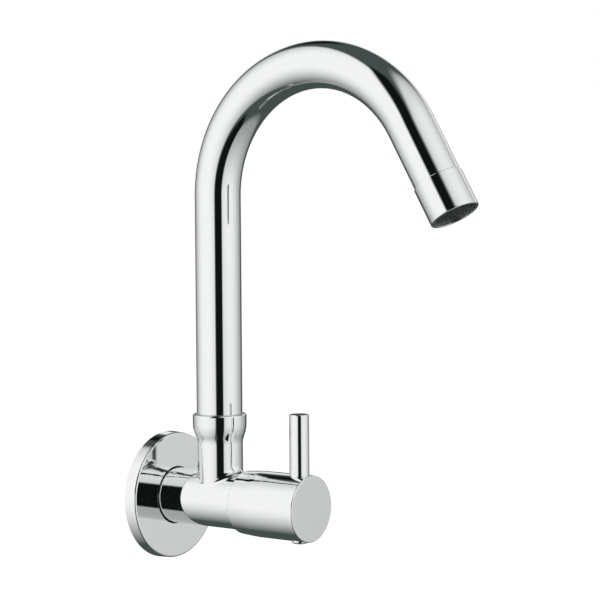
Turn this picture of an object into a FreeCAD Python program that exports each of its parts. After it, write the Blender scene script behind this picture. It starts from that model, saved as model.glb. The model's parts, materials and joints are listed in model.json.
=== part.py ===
import FreeCAD, Part

import math
import operator
import os
from types import SimpleNamespace

import Sketcher
from FreeCAD import Placement, Rotation, Vector

# A chromed wall faucet for one supply. The origin is the centre of the wall flange's back,
# on the axis of the horizontal body. +Y points into the wall, -Y to the user, +Z up.
# "Station" is the distance from the wall along the body's axis, "height" the distance
# above that axis. Every size is in millimetres, every angle in degrees.
SIZES = {
    # clearances: running fits, seals and taps, end stops, free faces, screw tips
    "fit_gap": 0.05,
    "seal_gap": 0.03,
    "stop_gap": 0.1,
    "play_gap": 0.3,
    "tip_gap": 1.0,
    # wall flange
    "flange_radius": 30.9,
    "flange_depth": 6.5,
    "flange_wall": 1.2,
    "flange_draft": 0.3,
    "flange_edge": 0.7,
    "flange_collar": 3.4,
    "flange_lip": 0.4,
    "flange_ring": 1.2,
    # valve body
    "body_radius": 13.45,
    "body_back": 4.2,
    "body_front": 53.0,
    "spigot_length": 3.5,
    "spigot_step": 0.55,
    "mouth_wall": 1.3,
    "mouth_depth": 1.5,
    # inlet connector
    "inlet_bore": 6.0,
    "inlet_thread": 10.4775,
    "inlet_reach": 16.0,
    "inlet_engage": 9.0,
    "inlet_chamfer": 0.8,
    "inlet_hex_height": 3.2,
    "inlet_key": 12.0,
    "inlet_key_depth": 8.0,
    "strainer_length": 8.0,
    "strainer_wall": 0.6,
    "strainer_rim": 0.8,
    "strainer_slot": 1.2,
    "strainer_slots": 8,
    "washer_thickness": 1.5,
    # neck that carries the spout
    "riser_offset": 34.0,
    "neck_step": 0.05,
    "neck_wall": 2.05,
    "neck_floor": 16.5,
    "neck_waist": 28.0,
    "neck_top": 41.6,
    "neck_root": 2.0,
    "waist_round": 8.0,
    "waterway": 5.5,
    "collar_start": 34.0,
    "collar_wall": 0.95,
    "collar_round": 6.0,
    "collar_edge": 0.7,
    "glide_wall": 0.9,
    "glide_base": 1.2,
    "glide_drop": 0.4,
    "lock_radius": 2.0,
    "lock_tip": 1.2,
    "lock_recess": 0.15,
    # ceramic headwork
    "head_depth": 28.0,
    "head_thread_step": 1.2,
    "head_thread_depth": 13.0,
    "head_relief": 0.3,
    "head_relief_width": 2.0,
    "head_hex_height": 4.0,
    "head_neck_wall": 2.45,
    "head_neck_length": 4.0,
    "chamber_step": 0.4,
    "barrel_channel": 1.6,
    "barrel_wall": 1.2,
    "window_width": 6.0,
    "window_length": 7.0,
    "window_margin": 1.0,
    "seal_length": 2.5,
    "seal_wall": 1.45,
    "seal_proud": 1.0,
    "disc_height": 3.0,
    "port_inner": 2.7,
    "port_sweep": 76.0,
    "dog_width": 5.0,
    "dog_inset": 1.0,
    "dog_depth": 1.5,
    "dog_rise": 1.0,
    "dog_root": 0.5,
    "stem_step": 1.2,
    "shoulder_depth": 9.4,
    "thrust_washer": 0.6,
    "thrust_height": 1.8,
    "thrust_step": 0.8,
    "tab_sweep": 209.0,
    "stop_sweep": 60.0,
    "journal_step": 2.2,
    "journal_tail": 0.8,
    "spindle_groove": 1.0,
    "spindle_groove_width": 1.4,
    "spindle_ring_spacing": 4.0,
    "clip_groove": 0.8,
    "clip_thickness": 0.8,
    "clip_width": 2.35,
    "clip_gap": 0.4,
    "clip_sweep": 300.0,
    "square_width": 7.0,
    "square_length": 11.2,
    "tapped_depth": 10.0,
    # handle
    "knob_gap": 0.4,
    "knob_back_step": 1.55,
    "knob_step": 2.25,
    "knob_taper": 10.7,
    "skirt_land": 0.35,
    "knob_bore": 9.0,
    "knob_face_wall": 2.2,
    "knob_edge": 0.7,
    "insert_web": 2.0,
    "insert_head_bore": 3.9,
    "lever_inset": 7.0,
    "lever_radius": 4.65,
    "lever_top": 44.0,
    "lever_seat": 7.5,
    "lever_spigot": 3.0,
    "lever_foot": 7.0,
    "lever_tap": 10.0,
    "lever_edge": 0.4,
    "screw_radius": 2.0,
    "screw_head": 3.5,
    "screw_head_height": 2.2,
    "screw_key": 2.5,
    "nub_radius": 3.9,
    "nub_proud": 1.0,
    "nub_height": 4.2,
    "nub_edge": 0.8,
    # spout
    "tube_radius": 11.0,
    "tube_wall": 1.5,
    "bend_start": 146.0,
    "bend_radius": 60.0,
    "bend_angle": 150.0,
    "outlet_run": 45.5,
    "bush_wall": 1.8,
    "bush_rise": 0.5,
    "bush_insert": 10.8,
    "bush_rim": 0.95,
    "bush_taper": 4.5,
    "ring_groove": 1.65,
    "ring_width": 2.2,
    "ring_inset": 4.0,
    "lock_groove": 1.35,
    # outlet
    "sleeve_step": 0.5,
    "sleeve_length": 18.0,
    "sleeve_wall": 0.85,
    "sleeve_lip": 1.0,
    "mouth_lip": 0.55,
    "sleeve_edge": 0.4,
    "outlet_bush_wall": 1.65,
    "outlet_bush_depth": 9.0,
    "aerator_seal": 2.0,
    "grid_height": 4.5,
    "grid_plate": 2.5,
    "grid_pitch": 3.0,
    "grid_web": 0.6,
    "jet_plate": 1.5,
    "jet_radius": 0.6,
    "jet_circle": 6.4,
    "jet_count": 12,
    "screen_rim": 0.5,
    "screen_dome": 1.6,
}

ALONG_BODY = Rotation(Vector(1, 0, 0), 90)
INTO_WALL = Rotation(Vector(1, 0, 0), -90)
ALONG_SPOUT = Rotation(Vector(0, 0, 1), -90)

# how far a cross cut is drawn, in radii of what it opens
ONE_WALL = 1.5
BOTH_WALLS = 3


class Size:
    """A length or angle that knows its value and the formula that it comes from."""

    def __init__(self, value, text):
        self.value = value
        self.text = text

    def __add__(self, other):
        return work_out(operator.add, "+", self, other)

    def __sub__(self, other):
        return work_out(operator.sub, "-", self, other)

    def __mul__(self, other):
        return work_out(operator.mul, "*", self, other)

    def __truediv__(self, other):
        return work_out(operator.truediv, "/", self, other)

    def __neg__(self):
        return self * -1


def as_size(term):
    return term if isinstance(term, Size) else Size(float(term), f"({float(term)!r})")


def work_out(how, sign, left, right):
    left = as_size(left)
    right = as_size(right)
    return Size(how(left.value, right.value), f"({left.text} {sign} {right.text})")


def sine(angle):
    return Size(math.sin(math.radians(angle.value)), f"sin({angle.text} * 1 deg)")


def cosine(angle):
    return Size(math.cos(math.radians(angle.value)), f"cos({angle.text} * 1 deg)")


def make_sheet(doc):
    """Write the driving sizes to a sheet and give each one back as a Size."""
    sheet = doc.addObject("Spreadsheet::Sheet", "Sizes")
    for row, (alias, value) in enumerate(SIZES.items(), 1):
        sheet.set(f"A{row}", alias)
        sheet.set(f"B{row}", str(value))
        sheet.setAlias(f"B{row}", alias)
    doc.recompute()
    return SimpleNamespace(**{a: Size(float(sheet.get(a)), f"Sizes.{a}") for a in SIZES})


doc = FreeCAD.newDocument("wall_faucet")
size = make_sheet(doc)
parts = []

# ---- stations along the body's axis ----------------------------------------------------

nipple_end = size.body_back + size.inlet_engage
washer_station = nipple_end + size.strainer_rim
washer_end = washer_station + size.washer_thickness

body_shoulder = size.body_front - size.spigot_length
mouth_station = size.body_front - size.mouth_depth
chamber_end = size.body_front - size.head_thread_depth
seat_station = size.body_front - size.head_depth
barrel_back = seat_station + size.seal_proud

disc_station = seat_station + size.seal_length
moving_station = disc_station + size.disc_height
moving_end = moving_station + size.disc_height
stem_start = moving_end + size.dog_rise
thrust_end = size.body_front - size.shoulder_depth
thrust_station = thrust_end - size.thrust_washer
thrust_start = thrust_station - size.thrust_height
back_ring_station = thrust_station + size.spindle_ring_spacing
front_ring_station = back_ring_station + size.spindle_ring_spacing
head_hex_end = size.body_front + size.head_hex_height
head_end = head_hex_end + size.head_neck_length
clip_station = head_end + size.clip_gap
clip_end = clip_station + size.clip_thickness
journal_end = clip_end + size.journal_tail
square_end = journal_end + size.square_length

knob_back = body_shoulder + size.knob_gap
knob_cavity_end = clip_end + size.play_gap
insert_start = journal_end + size.play_gap
web_start = square_end + size.play_gap
screw_seat = web_start + size.insert_web
lever_station = screw_seat + size.screw_head_height + size.play_gap + size.lever_spigot
knob_face = lever_station + size.lever_inset
knob_floor = knob_face - size.knob_face_wall
insert_end = knob_floor - size.play_gap

# ---- radii about the body's axis -------------------------------------------------------

flange_hole = size.body_radius + size.flange_ring + size.fit_gap
inlet_corner = size.body_radius + size.play_gap
spigot_radius = size.body_radius - size.spigot_step
mouth_radius = spigot_radius - size.mouth_wall
head_thread = mouth_radius - size.head_thread_step
head_bore = head_thread + size.fit_gap
head_relief = head_thread - size.head_relief
head_corner = spigot_radius - size.play_gap
chamber_radius = head_thread - size.chamber_step
barrel_radius = chamber_radius - size.barrel_channel
barrel_bore = barrel_radius - size.barrel_wall
disc_radius = barrel_bore - size.fit_gap
seal_bore = disc_radius - size.seal_wall
journal_radius = barrel_bore - size.journal_step
journal_bore = journal_radius + size.fit_gap
head_neck = journal_bore + size.head_neck_wall
stem_radius = journal_radius - size.stem_step
spindle_floor = journal_radius - size.spindle_groove
clip_floor = journal_radius - size.clip_groove
thrust_radius = journal_radius + size.thrust_step

knob_cavity = spigot_radius + size.play_gap
knob_back_radius = size.body_radius + size.knob_back_step
knob_radius = size.body_radius + size.knob_step
insert_radius = size.knob_bore - size.fit_gap
nub_seat = knob_radius + size.nub_proud - size.nub_height

# ---- heights and radii of the neck and the spout's foot --------------------------------

tube_bore = size.tube_radius - size.tube_wall
tube_foot = size.collar_start + size.glide_base
glide_bore = size.tube_radius + size.fit_gap
glide_radius = glide_bore + size.glide_wall
collar_bore = glide_radius + size.fit_gap
collar_radius = collar_bore + size.collar_wall
neck_radius = size.tube_radius + size.neck_step
neck_bore = neck_radius - size.neck_wall
bearing_radius = neck_bore - size.fit_gap
ring_floor = bearing_radius - size.ring_groove
bush_bore = ring_floor - size.bush_wall
bush_top = tube_foot + size.bush_insert
lower_ring = size.neck_floor + size.ring_inset
upper_ring = size.collar_start - size.ring_inset
lock_height = (lower_ring + upper_ring) / 2
lock_floor = bearing_radius - size.lock_groove
lock_reach = lock_floor + size.play_gap

# ---- the outlet, measured up the stream from its face ----------------------------------

sleeve_radius = size.tube_radius + size.sleeve_step
sleeve_bore = sleeve_radius - size.sleeve_wall
sleeve_mouth = sleeve_bore - size.mouth_lip
outlet_fit = sleeve_bore - size.fit_gap
outlet_shank = tube_bore - size.fit_gap
outlet_bore = outlet_shank - size.outlet_bush_wall
jet_station = size.sleeve_lip + size.grid_height
screen_station = jet_station + size.jet_plate
seal_station = screen_station + size.screen_rim
bush_station = seal_station + size.aerator_seal


def tie(item, name, term):
    """Bind a property of the item to a size."""
    item.setExpression(name, as_size(term).text)


# ---- sketches and features -------------------------------------------------------------


def start(name):
    """An empty body for the sub-part of this name."""
    body = doc.addObject("PartDesign::Body", name)
    return keep(body, name)


def keep(item, name):
    item.Label = name
    parts.append(item)
    return item


def origin_plane(body, role):
    return next(item for item in body.Origin.OriginFeatures if item.Role == role)


def new_sketch(body, role, lift=None):
    sketch = body.newObject("Sketcher::SketchObject", "Sketch")
    sketch.AttachmentSupport = [(origin_plane(body, role), "")]
    sketch.MapMode = "FlatFace"
    if lift is not None:
        tie(sketch, "AttachmentOffset.Base.z", lift)
    return sketch


def pin(sketch, kind, where, term):
    """Hold a point at a distance from the sketch's origin along one of its axes."""
    if not isinstance(term, Size) and term == 0:
        axis = -2 if kind == "DistanceX" else -1
        sketch.addConstraint(Sketcher.Constraint("PointOnObject", *where, axis))
        return
    number = sketch.addConstraint(Sketcher.Constraint(kind, -1, 1, *where, as_size(term).value))
    tie(sketch, f"Constraints[{number}]", term)


def pin_point(sketch, where, point):
    pin(sketch, "DistanceX", where, point[0])
    pin(sketch, "DistanceY", where, point[1])


def flat(point):
    return Vector(as_size(point[0]).value, as_size(point[1]).value, 0)


def draw_loop(sketch, points):
    """A closed outline of straight lines through the points."""
    first = sketch.GeometryCount
    ends = points[1:] + points[:1]
    sketch.addGeometry([Part.LineSegment(flat(a), flat(b)) for a, b in zip(points, ends)], False)
    for number, point in enumerate(points):
        before = (number - 1) % len(points)
        sketch.addConstraint(Sketcher.Constraint("Coincident", first + before, 2, first + number, 1))
        pin_point(sketch, (first + number, 1), point)


def draw_circle(sketch, centre, radius):
    circle = Part.Circle(flat(centre), Vector(0, 0, 1), as_size(radius).value)
    number = sketch.addGeometry(circle, False)
    rule = sketch.addConstraint(Sketcher.Constraint("Radius", number, as_size(radius).value))
    tie(sketch, f"Constraints[{rule}]", radius)
    pin_point(sketch, (number, 3), centre)


def box_loop(low, high):
    return [(low[0], low[1]), (high[0], low[1]), (high[0], high[1]), (low[0], high[1])]


def centred_box(width, length):
    return box_loop((width * -0.5, length * -0.5), (width * 0.5, length * 0.5))


def hexagon_loop(corner):
    """A hexagon about the origin with its corners at this radius."""
    turns = [math.radians(60 * step) for step in range(6)]
    return [(corner * math.cos(t), corner * math.sin(t)) for t in turns]


def key_loop(flats):
    """A hexagon about the origin with this size across its flats."""
    return hexagon_loop(flats / math.sqrt(3))


def turned(body, points, cut=False, role="XZ_Plane", lift=None, sweep=360, middle=False,
           back=False):
    """Spin an outline of (radius, distance) points about the sketch's upright axis."""
    sketch = new_sketch(body, role, lift)
    draw_loop(sketch, points)
    kind = "PartDesign::Groove" if cut else "PartDesign::Revolution"
    feature = body.newObject(kind, "Turned")
    feature.Profile = sketch
    feature.ReferenceAxis = (sketch, ["V_Axis"])
    tie(feature, "Angle", sweep)
    feature.Midplane = middle
    feature.Reversed = back
    return settle(body, feature, cut)


def pushed(body, draw, depth, cut=False, role="XY_Plane", lift=None, middle=False, back=False):
    """Raise or sink what draw() puts in a sketch by a depth."""
    sketch = new_sketch(body, role, lift)
    draw(sketch)
    feature = body.newObject("PartDesign::Pocket" if cut else "PartDesign::Pad", "Pushed")
    feature.Profile = sketch
    tie(feature, "Length", depth)
    feature.Midplane = middle
    feature.Reversed = back
    return settle(body, feature, cut)


def settle(body, feature, cut):
    """Build the feature, and make sure that it adds or removes material."""
    before = feature.BaseFeature.Shape.Volume if feature.BaseFeature else 0.0
    body.Tip = feature
    doc.recompute()
    change = feature.Shape.Volume - before
    if change * (-1 if cut else 1) < 1e-3:
        raise RuntimeError(f"{body.Label}: {feature.Name} changes the volume by {change:.4f}")
    return feature


def repeated(body, feature, count):
    """Repeat a feature round the body's own axis."""
    pattern = body.newObject("PartDesign::PolarPattern", "Repeated")
    pattern.Originals = [feature]
    pattern.Axis = (origin_axis(body), [""])
    pattern.Angle = 360
    tie(pattern, "Occurrences", count)
    body.Tip = pattern
    doc.recompute()
    return pattern


def origin_axis(body):
    return next(item for item in body.Origin.OriginFeatures if item.Role == "Z_Axis")


def is_rim(edge, radius, centre):
    if not isinstance(edge.Curve, Part.Circle):
        return False
    return abs(edge.Curve.Radius - radius) < 1e-4 and edge.Curve.Center.distanceToPoint(centre) < 1e-4


def rims(body, places):
    """Names of the circular edges at these (radius, distance along the body's axis)."""
    wanted = [(as_size(r).value, Vector(0, 0, as_size(z).value)) for r, z in places]
    return edge_names(body, lambda edge: any(is_rim(edge, r, c) for r, c in wanted))


def edge_names(body, test):
    return [f"Edge{n}" for n, edge in enumerate(body.Tip.Shape.Edges, 1) if test(edge)]


def rounded(body, edges, radius):
    return dressed(body, "PartDesign::Fillet", "Radius", edges, radius)


def bevelled(body, edges, width):
    return dressed(body, "PartDesign::Chamfer", "Size", edges, width)


def dressed(body, kind, measure, edges, term):
    if not edges:
        raise RuntimeError(f"{body.Label}: no edge to dress")
    base = body.Tip
    feature = body.newObject(kind, "Dressed")
    feature.Base = (base, edges)
    tie(feature, measure, term)
    body.Tip = feature
    doc.recompute()
    return feature


# ---- places ----------------------------------------------------------------------------


def on_body(item, station=0):
    """Lay a sub-part along the body's axis, its own Z pointing to the user."""
    item.Placement = Placement(Vector(), ALONG_BODY)
    tie(item, "Placement.Base.y", as_size(station) * -1)


def on_neck(item):
    """Stand a sub-part on the neck's axis, its own X pointing to the user."""
    item.Placement = Placement(Vector(), ALONG_SPOUT)
    tie(item, "Placement.Base.y", -size.riser_offset)


def on_lever(item, height):
    """Stand a sub-part on the lever's axis, from a height."""
    tie(item, "Placement.Base.y", -lever_station)
    tie(item, "Placement.Base.z", height)


def outlet_point(run):
    """Distance from the neck's axis and height of a point on the outlet's straight run."""
    out = size.bend_radius - size.bend_radius * cosine(size.bend_angle) + run * sine(size.bend_angle)
    up = size.bend_start + size.bend_radius * sine(size.bend_angle) + run * cosine(size.bend_angle)
    return out, up


def on_outlet(item):
    """Place a sub-part on the outlet, its own Z pointing up the stream."""
    item.Placement = Placement(Vector(), Rotation(Vector(1, 0, 0), size.bend_angle.value - 180))
    out, up = outlet_point(size.outlet_run)
    tie(item, "Placement.Base.y", -(size.riser_offset + out))
    tie(item, "Placement.Base.z", up)
    tie(item, "Placement.Rotation.Angle", size.bend_angle - 180)


def make_ring(name, inner, outer, station):
    """An O-ring between two radii, its round section drawn with eight sides."""
    body = start(name)
    middle = (inner + outer) / 2
    reach = (outer - inner) / 2 - size.seal_gap
    half_side = reach * math.tan(math.pi / 8)
    corner = [(reach, half_side), (half_side, reach)]
    section = [
        *corner,
        *[(-x, y) for x, y in reversed(corner)],
        *[(-x, -y) for x, y in corner],
        *[(x, -y) for x, y in reversed(corner)],
    ]
    turned(body, [(middle + x, station + y) for x, y in section])
    return body


# ---- wall side -------------------------------------------------------------------------


def make_flange():
    """A thin dish with a hole for the body and a short collar behind its face."""
    body = start("wall_flange")
    front = size.flange_radius - size.flange_draft
    inner_face = size.flange_depth - size.flange_wall
    collar = size.flange_depth - size.flange_collar
    turned(body, [
        (size.flange_radius - size.flange_wall, 0),
        (size.flange_radius, 0),
        (front, size.flange_depth),
        (flange_hole, size.flange_depth),
        (flange_hole, collar),
        (flange_hole + size.flange_wall, collar),
        (flange_hole + size.flange_wall, inner_face),
        (front - size.flange_wall, inner_face),
    ])
    bevelled(body, rims(body, [(front, size.flange_depth)]), size.flange_edge)
    bevelled(body, rims(body, [(flange_hole, size.flange_depth)]), size.flange_lip)
    on_body(body)


def make_flange_ring():
    station = size.flange_depth - size.flange_collar / 2
    on_body(make_ring("flange_o_ring", size.body_radius, flange_hole, station))


def make_nipple():
    """The male connector: thread for the wall, hexagon, thread for the body, hollow."""
    body = start("inlet_nipple")
    seat = size.inlet_reach + size.body_back
    end = seat + size.inlet_engage
    turned(body, box_loop((0, 0), (size.inlet_thread, end)))
    pushed(body, lambda s: draw_loop(s, hexagon_loop(inlet_corner)), size.inlet_hex_height,
           lift=seat - size.inlet_hex_height)
    pushed(body, lambda s: draw_circle(s, (0, 0), size.inlet_bore), end, cut=True, back=True)
    pushed(body, lambda s: draw_loop(s, key_loop(size.inlet_key)), size.inlet_key_depth,
           cut=True, back=True)
    bevelled(body, rims(body, [(size.inlet_thread, 0), (size.inlet_thread, end)]), size.inlet_chamfer)
    on_body(body, -size.inlet_reach)


def make_strainer():
    """A cup with slots, hung in the connector's bore by its rim."""
    body = start("inlet_strainer")
    outside = size.inlet_bore - size.play_gap
    inside = outside - size.strainer_wall
    rim = size.inlet_thread - size.strainer_wall
    cup = nipple_end - size.strainer_length
    turned(body, [
        (0, cup),
        (outside, cup),
        (outside, nipple_end),
        (rim, nipple_end),
        (rim, washer_station),
        (inside, washer_station),
        (inside, cup + size.strainer_wall),
        (0, cup + size.strainer_wall),
    ])
    half = size.strainer_slot / 2
    slot = box_loop((-half, cup + size.strainer_slot), (half, nipple_end - size.strainer_slot))
    cut = pushed(body, lambda s: draw_loop(s, slot), outside * ONE_WALL, cut=True, role="XZ_Plane")
    repeated(body, cut, size.strainer_slots)
    on_body(body)


def make_inlet_washer():
    body = start("inlet_washer")
    inner = size.inlet_bore - size.strainer_wall
    outer = size.inlet_thread - size.strainer_wall / 2
    turned(body, box_loop((inner, washer_station), (outer, washer_end)))
    on_body(body)


# ---- valve body ------------------------------------------------------------------------


def make_valve_body():
    """The cast body: barrel along the wall axis and neck that carries the spout."""
    body = start("valve_body")
    turned(body, [
        (0, size.body_back),
        (size.body_radius, size.body_back),
        (size.body_radius, body_shoulder),
        (spigot_radius, body_shoulder),
        (spigot_radius, size.body_front),
        (0, size.body_front),
    ])
    turned(body, [
        (0, 0),
        (neck_radius, 0),
        (neck_radius, size.neck_waist),
        (collar_radius, size.collar_start),
        (collar_radius, size.neck_top),
        (0, size.neck_top),
    ], role="XY_Plane", lift=size.riser_offset)
    rounded(body, edge_names(body, is_saddle), size.neck_root)
    rounded(body, neck_rims(body, neck_radius, size.neck_waist), size.waist_round)
    rounded(body, neck_rims(body, collar_radius, size.collar_start), size.collar_round)
    bevelled(body, neck_rims(body, collar_radius, size.neck_top), size.collar_edge)
    cut_barrel_bores(body)
    cut_neck_bores(body)
    on_body(body)


def is_saddle(edge):
    return not isinstance(edge.Curve, (Part.Circle, Part.Line))


def neck_rims(body, radius, height):
    centre = Vector(0, height.value, size.riser_offset.value)
    return edge_names(body, lambda edge: is_rim(edge, radius.value, centre))


def cut_barrel_bores(body):
    """The connector's bore, the inlet, the headwork's chamber, thread and mouth."""
    inlet = size.inlet_thread + size.fit_gap
    turned(body, [
        (0, size.body_back),
        (inlet, size.body_back),
        (inlet, washer_end),
        (size.inlet_bore, washer_end),
        (size.inlet_bore, seat_station),
        (chamber_radius, seat_station),
        (chamber_radius, chamber_end),
        (head_bore, chamber_end),
        (head_bore, mouth_station),
        (mouth_radius, mouth_station),
        (mouth_radius, size.body_front),
        (0, size.body_front),
    ], cut=True)


def cut_neck_bores(body):
    """Waterway, the spout's bearing bore, the collar's bore and the lock screw's hole."""
    inside_chamber = chamber_radius / 2
    turned(body, [
        (0, inside_chamber),
        (size.waterway, inside_chamber),
        (size.waterway, size.neck_floor),
        (neck_bore, size.neck_floor),
        (neck_bore, size.collar_start),
        (collar_bore, size.collar_start),
        (collar_bore, size.neck_top),
        (0, size.neck_top),
    ], cut=True, role="XY_Plane", lift=size.riser_offset)
    hole = size.lock_radius + size.seal_gap
    pushed(body, lambda s: draw_circle(s, (0, lock_height), hole), collar_radius, cut=True,
           lift=size.riser_offset)


# ---- ceramic headwork ------------------------------------------------------------------


def make_housing():
    """The headwork's brass body, with its thread zone, hexagon, windows and end stop."""
    body = start("headwork_housing")
    thread_end = size.body_front - size.head_relief_width
    turned(body, [
        (barrel_bore, barrel_back),
        (barrel_radius, barrel_back),
        (barrel_radius, chamber_end),
        (head_thread, chamber_end),
        (head_thread, thread_end),
        (head_relief, thread_end),
        (head_relief, head_hex_end),
        (head_neck, head_hex_end),
        (head_neck, head_end),
        (journal_bore, head_end),
        (journal_bore, thrust_end),
        (barrel_bore, thrust_end),
    ])

    def hexagon(sketch):
        draw_loop(sketch, hexagon_loop(head_corner))
        draw_circle(sketch, (0, 0), head_neck)

    pushed(body, hexagon, size.head_hex_height, lift=size.body_front)
    half = size.window_width / 2
    window_end = chamber_end - size.window_margin
    window = box_loop((-half, window_end - size.window_length), (half, window_end))
    for role in ("XZ_Plane", "YZ_Plane"):
        pushed(body, lambda s: draw_loop(s, window), barrel_radius * BOTH_WALLS, cut=True, role=role,
               middle=True)
    stop = box_loop((thrust_radius + size.stop_gap, thrust_start - size.stop_gap),
                    ((barrel_bore + barrel_radius) / 2, thrust_station))
    turned(body, stop, sweep=size.stop_sweep, back=True)
    on_body(body)


def make_seat_seal():
    body = start("seat_seal")
    turned(body, box_loop((seal_bore, seat_station), (disc_radius, disc_station)))
    on_body(body)


def make_disc(name, station, radius, role):
    """A ceramic disc with two opposite ports."""
    body = start(name)
    end = station + size.disc_height
    turned(body, box_loop((0, station), (radius, end)))
    port = box_loop((size.port_inner, station), (seal_bore - size.stop_gap, end))
    cut = turned(body, port, cut=True, role=role, sweep=size.port_sweep, middle=True)
    repeated(body, cut, 2)
    return body


def make_fixed_disc():
    on_body(make_disc("fixed_ceramic_disc", disc_station, disc_radius, "XZ_Plane"))


def make_moving_disc():
    """The driven disc, a quarter turn off the fixed one's ports when shut."""
    body = make_disc("moving_ceramic_disc", moving_station, disc_radius - size.stop_gap, "YZ_Plane")
    slot = centred_box(dog_length() + size.stop_gap, size.dog_width + size.stop_gap)
    pushed(body, lambda s: draw_loop(s, slot), size.dog_depth, cut=True, lift=moving_end)
    on_body(body)


def dog_length():
    return (disc_radius - size.dog_inset) * 2


def make_spindle():
    """Dog, stem, thrust collar with its stop tab, journal with ring grooves, square end."""
    body = start("spindle")
    grooves = [
        *spindle_cut(back_ring_station, size.spindle_groove_width, spindle_floor),
        *spindle_cut(front_ring_station, size.spindle_groove_width, spindle_floor),
        *spindle_cut(clip_station - size.fit_gap, size.clip_thickness + size.fit_gap * 2, clip_floor),
    ]
    turned(body, [
        (0, stem_start),
        (stem_radius, stem_start),
        (stem_radius, thrust_start),
        (thrust_radius, thrust_start),
        (thrust_radius, thrust_station),
        (journal_radius, thrust_station),
        *grooves,
        (journal_radius, journal_end),
        (0, journal_end),
    ])
    dog = centred_box(dog_length(), size.dog_width)
    pushed(body, lambda s: draw_loop(s, dog), size.dog_depth + size.dog_rise + size.dog_root,
           lift=moving_end - size.dog_depth)
    square = centred_box(size.square_width, size.square_width)
    pushed(body, lambda s: draw_loop(s, square), size.square_length, lift=journal_end)
    tap = size.screw_radius + size.seal_gap
    pushed(body, lambda s: draw_circle(s, (0, 0), tap), size.tapped_depth, cut=True, lift=square_end)
    tab = box_loop((stem_radius, thrust_start), (barrel_bore - size.stop_gap, thrust_station))
    turned(body, tab, sweep=size.tab_sweep)
    on_body(body)


def spindle_cut(station, width, floor):
    """The outline's points for a groove in the journal."""
    end = station + width
    return [(journal_radius, station), (floor, station), (floor, end), (journal_radius, end)]


def make_spindle_rings():
    for side, station in (("back", back_ring_station), ("front", front_ring_station)):
        middle = station + size.spindle_groove_width / 2
        on_body(make_ring(f"spindle_o_ring_{side}", spindle_floor, journal_bore, middle))


def make_thrust_washer():
    body = start("thrust_washer")
    turned(body, box_loop((journal_radius + size.stop_gap, thrust_station),
                          (barrel_bore - size.stop_gap, thrust_end)))
    on_body(body)


def make_clip():
    """An open ring that keeps the spindle in its housing."""
    body = start("spindle_clip")
    inner = clip_floor + size.fit_gap
    turned(body, box_loop((inner, clip_station), (inner + size.clip_width, clip_end)),
           sweep=size.clip_sweep)
    on_body(body)


def make_headwork_ring():
    station = size.body_front - (mouth_radius - head_relief) / 2
    on_body(make_ring("headwork_o_ring", head_relief, mouth_radius, station))


# ---- handle ----------------------------------------------------------------------------


def make_insert():
    """The brass carrier on the spindle's square, with the lever's seat across it."""
    body = start("handle_insert")
    turned(body, box_loop((0, insert_start), (insert_radius, insert_end)))
    square = size.square_width + size.fit_gap
    pushed(body, lambda s: draw_loop(s, centred_box(square, square)), web_start - insert_start,
           cut=True, lift=insert_start, back=True)
    pushed(body, lambda s: draw_circle(s, (0, 0), size.insert_head_bore), insert_end - screw_seat,
           cut=True, lift=insert_end)
    pushed(body, lambda s: draw_circle(s, (0, 0), size.screw_radius + size.stop_gap),
           size.insert_web * 2, cut=True, lift=screw_seat)
    across = (0, lever_station)
    pushed(body, lambda s: draw_circle(s, across, size.lever_spigot + size.fit_gap),
           insert_radius * BOTH_WALLS, cut=True, role="XZ_Plane", middle=True)
    pushed(body, lambda s: draw_circle(s, across, size.lever_radius + size.fit_gap),
           insert_radius, cut=True, role="XZ_Plane", lift=-size.lever_seat)
    on_body(body)


def make_handle_screw():
    body = start("handle_screw")
    tip = square_end - size.tapped_depth + size.tip_gap
    top = screw_seat + size.screw_head_height
    turned(body, [
        (0, tip),
        (size.screw_radius, tip),
        (size.screw_radius, screw_seat),
        (size.screw_head, screw_seat),
        (size.screw_head, top),
        (0, top),
    ])
    pushed(body, lambda s: draw_loop(s, key_loop(size.screw_key)), size.screw_head_height / 2,
           cut=True, lift=top)
    on_body(body)


def make_knob():
    """The turning front of the tap: thin skirt over the body, solid where the lever stands."""
    body = start("handle_knob")
    turned(body, [
        (knob_cavity, knob_back),
        (knob_back_radius, knob_back),
        (knob_radius, knob_back + size.knob_taper),
        (knob_radius, knob_face),
        (0, knob_face),
        (0, knob_floor),
        (size.knob_bore, knob_floor),
        (size.knob_bore, knob_cavity_end),
        (knob_cavity, knob_cavity_end),
    ])
    skirt = knob_back_radius - knob_cavity
    rounded(body, rims(body, [(knob_back_radius, knob_back)]), skirt - size.skirt_land)
    bevelled(body, rims(body, [(knob_radius, knob_face)]), size.knob_edge)
    across = (0, lever_station)
    pushed(body, lambda s: draw_circle(s, across, size.lever_radius + size.fit_gap),
           knob_radius * ONE_WALL, cut=True, role="XZ_Plane")
    pushed(body, lambda s: draw_circle(s, across, size.screw_radius + size.stop_gap),
           knob_radius * ONE_WALL, cut=True, role="XZ_Plane", back=True)
    pushed(body, lambda s: draw_circle(s, across, size.nub_radius + size.fit_gap),
           knob_radius, cut=True, role="XZ_Plane", lift=nub_seat, back=True)
    on_body(body)


def make_lever():
    body = start("lever_pin")
    seat = size.lever_foot + size.lever_seat
    top = size.lever_foot + size.lever_top
    tap = size.screw_radius + size.seal_gap
    turned(body, [
        (tap, 0),
        (size.lever_spigot, 0),
        (size.lever_spigot, seat),
        (size.lever_radius, seat),
        (size.lever_radius, top),
        (0, top),
        (0, size.lever_tap),
        (tap, size.lever_tap),
    ])
    bevelled(body, rims(body, [(size.lever_radius, top)]), size.lever_edge)
    on_lever(body, -size.lever_foot)


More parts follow.
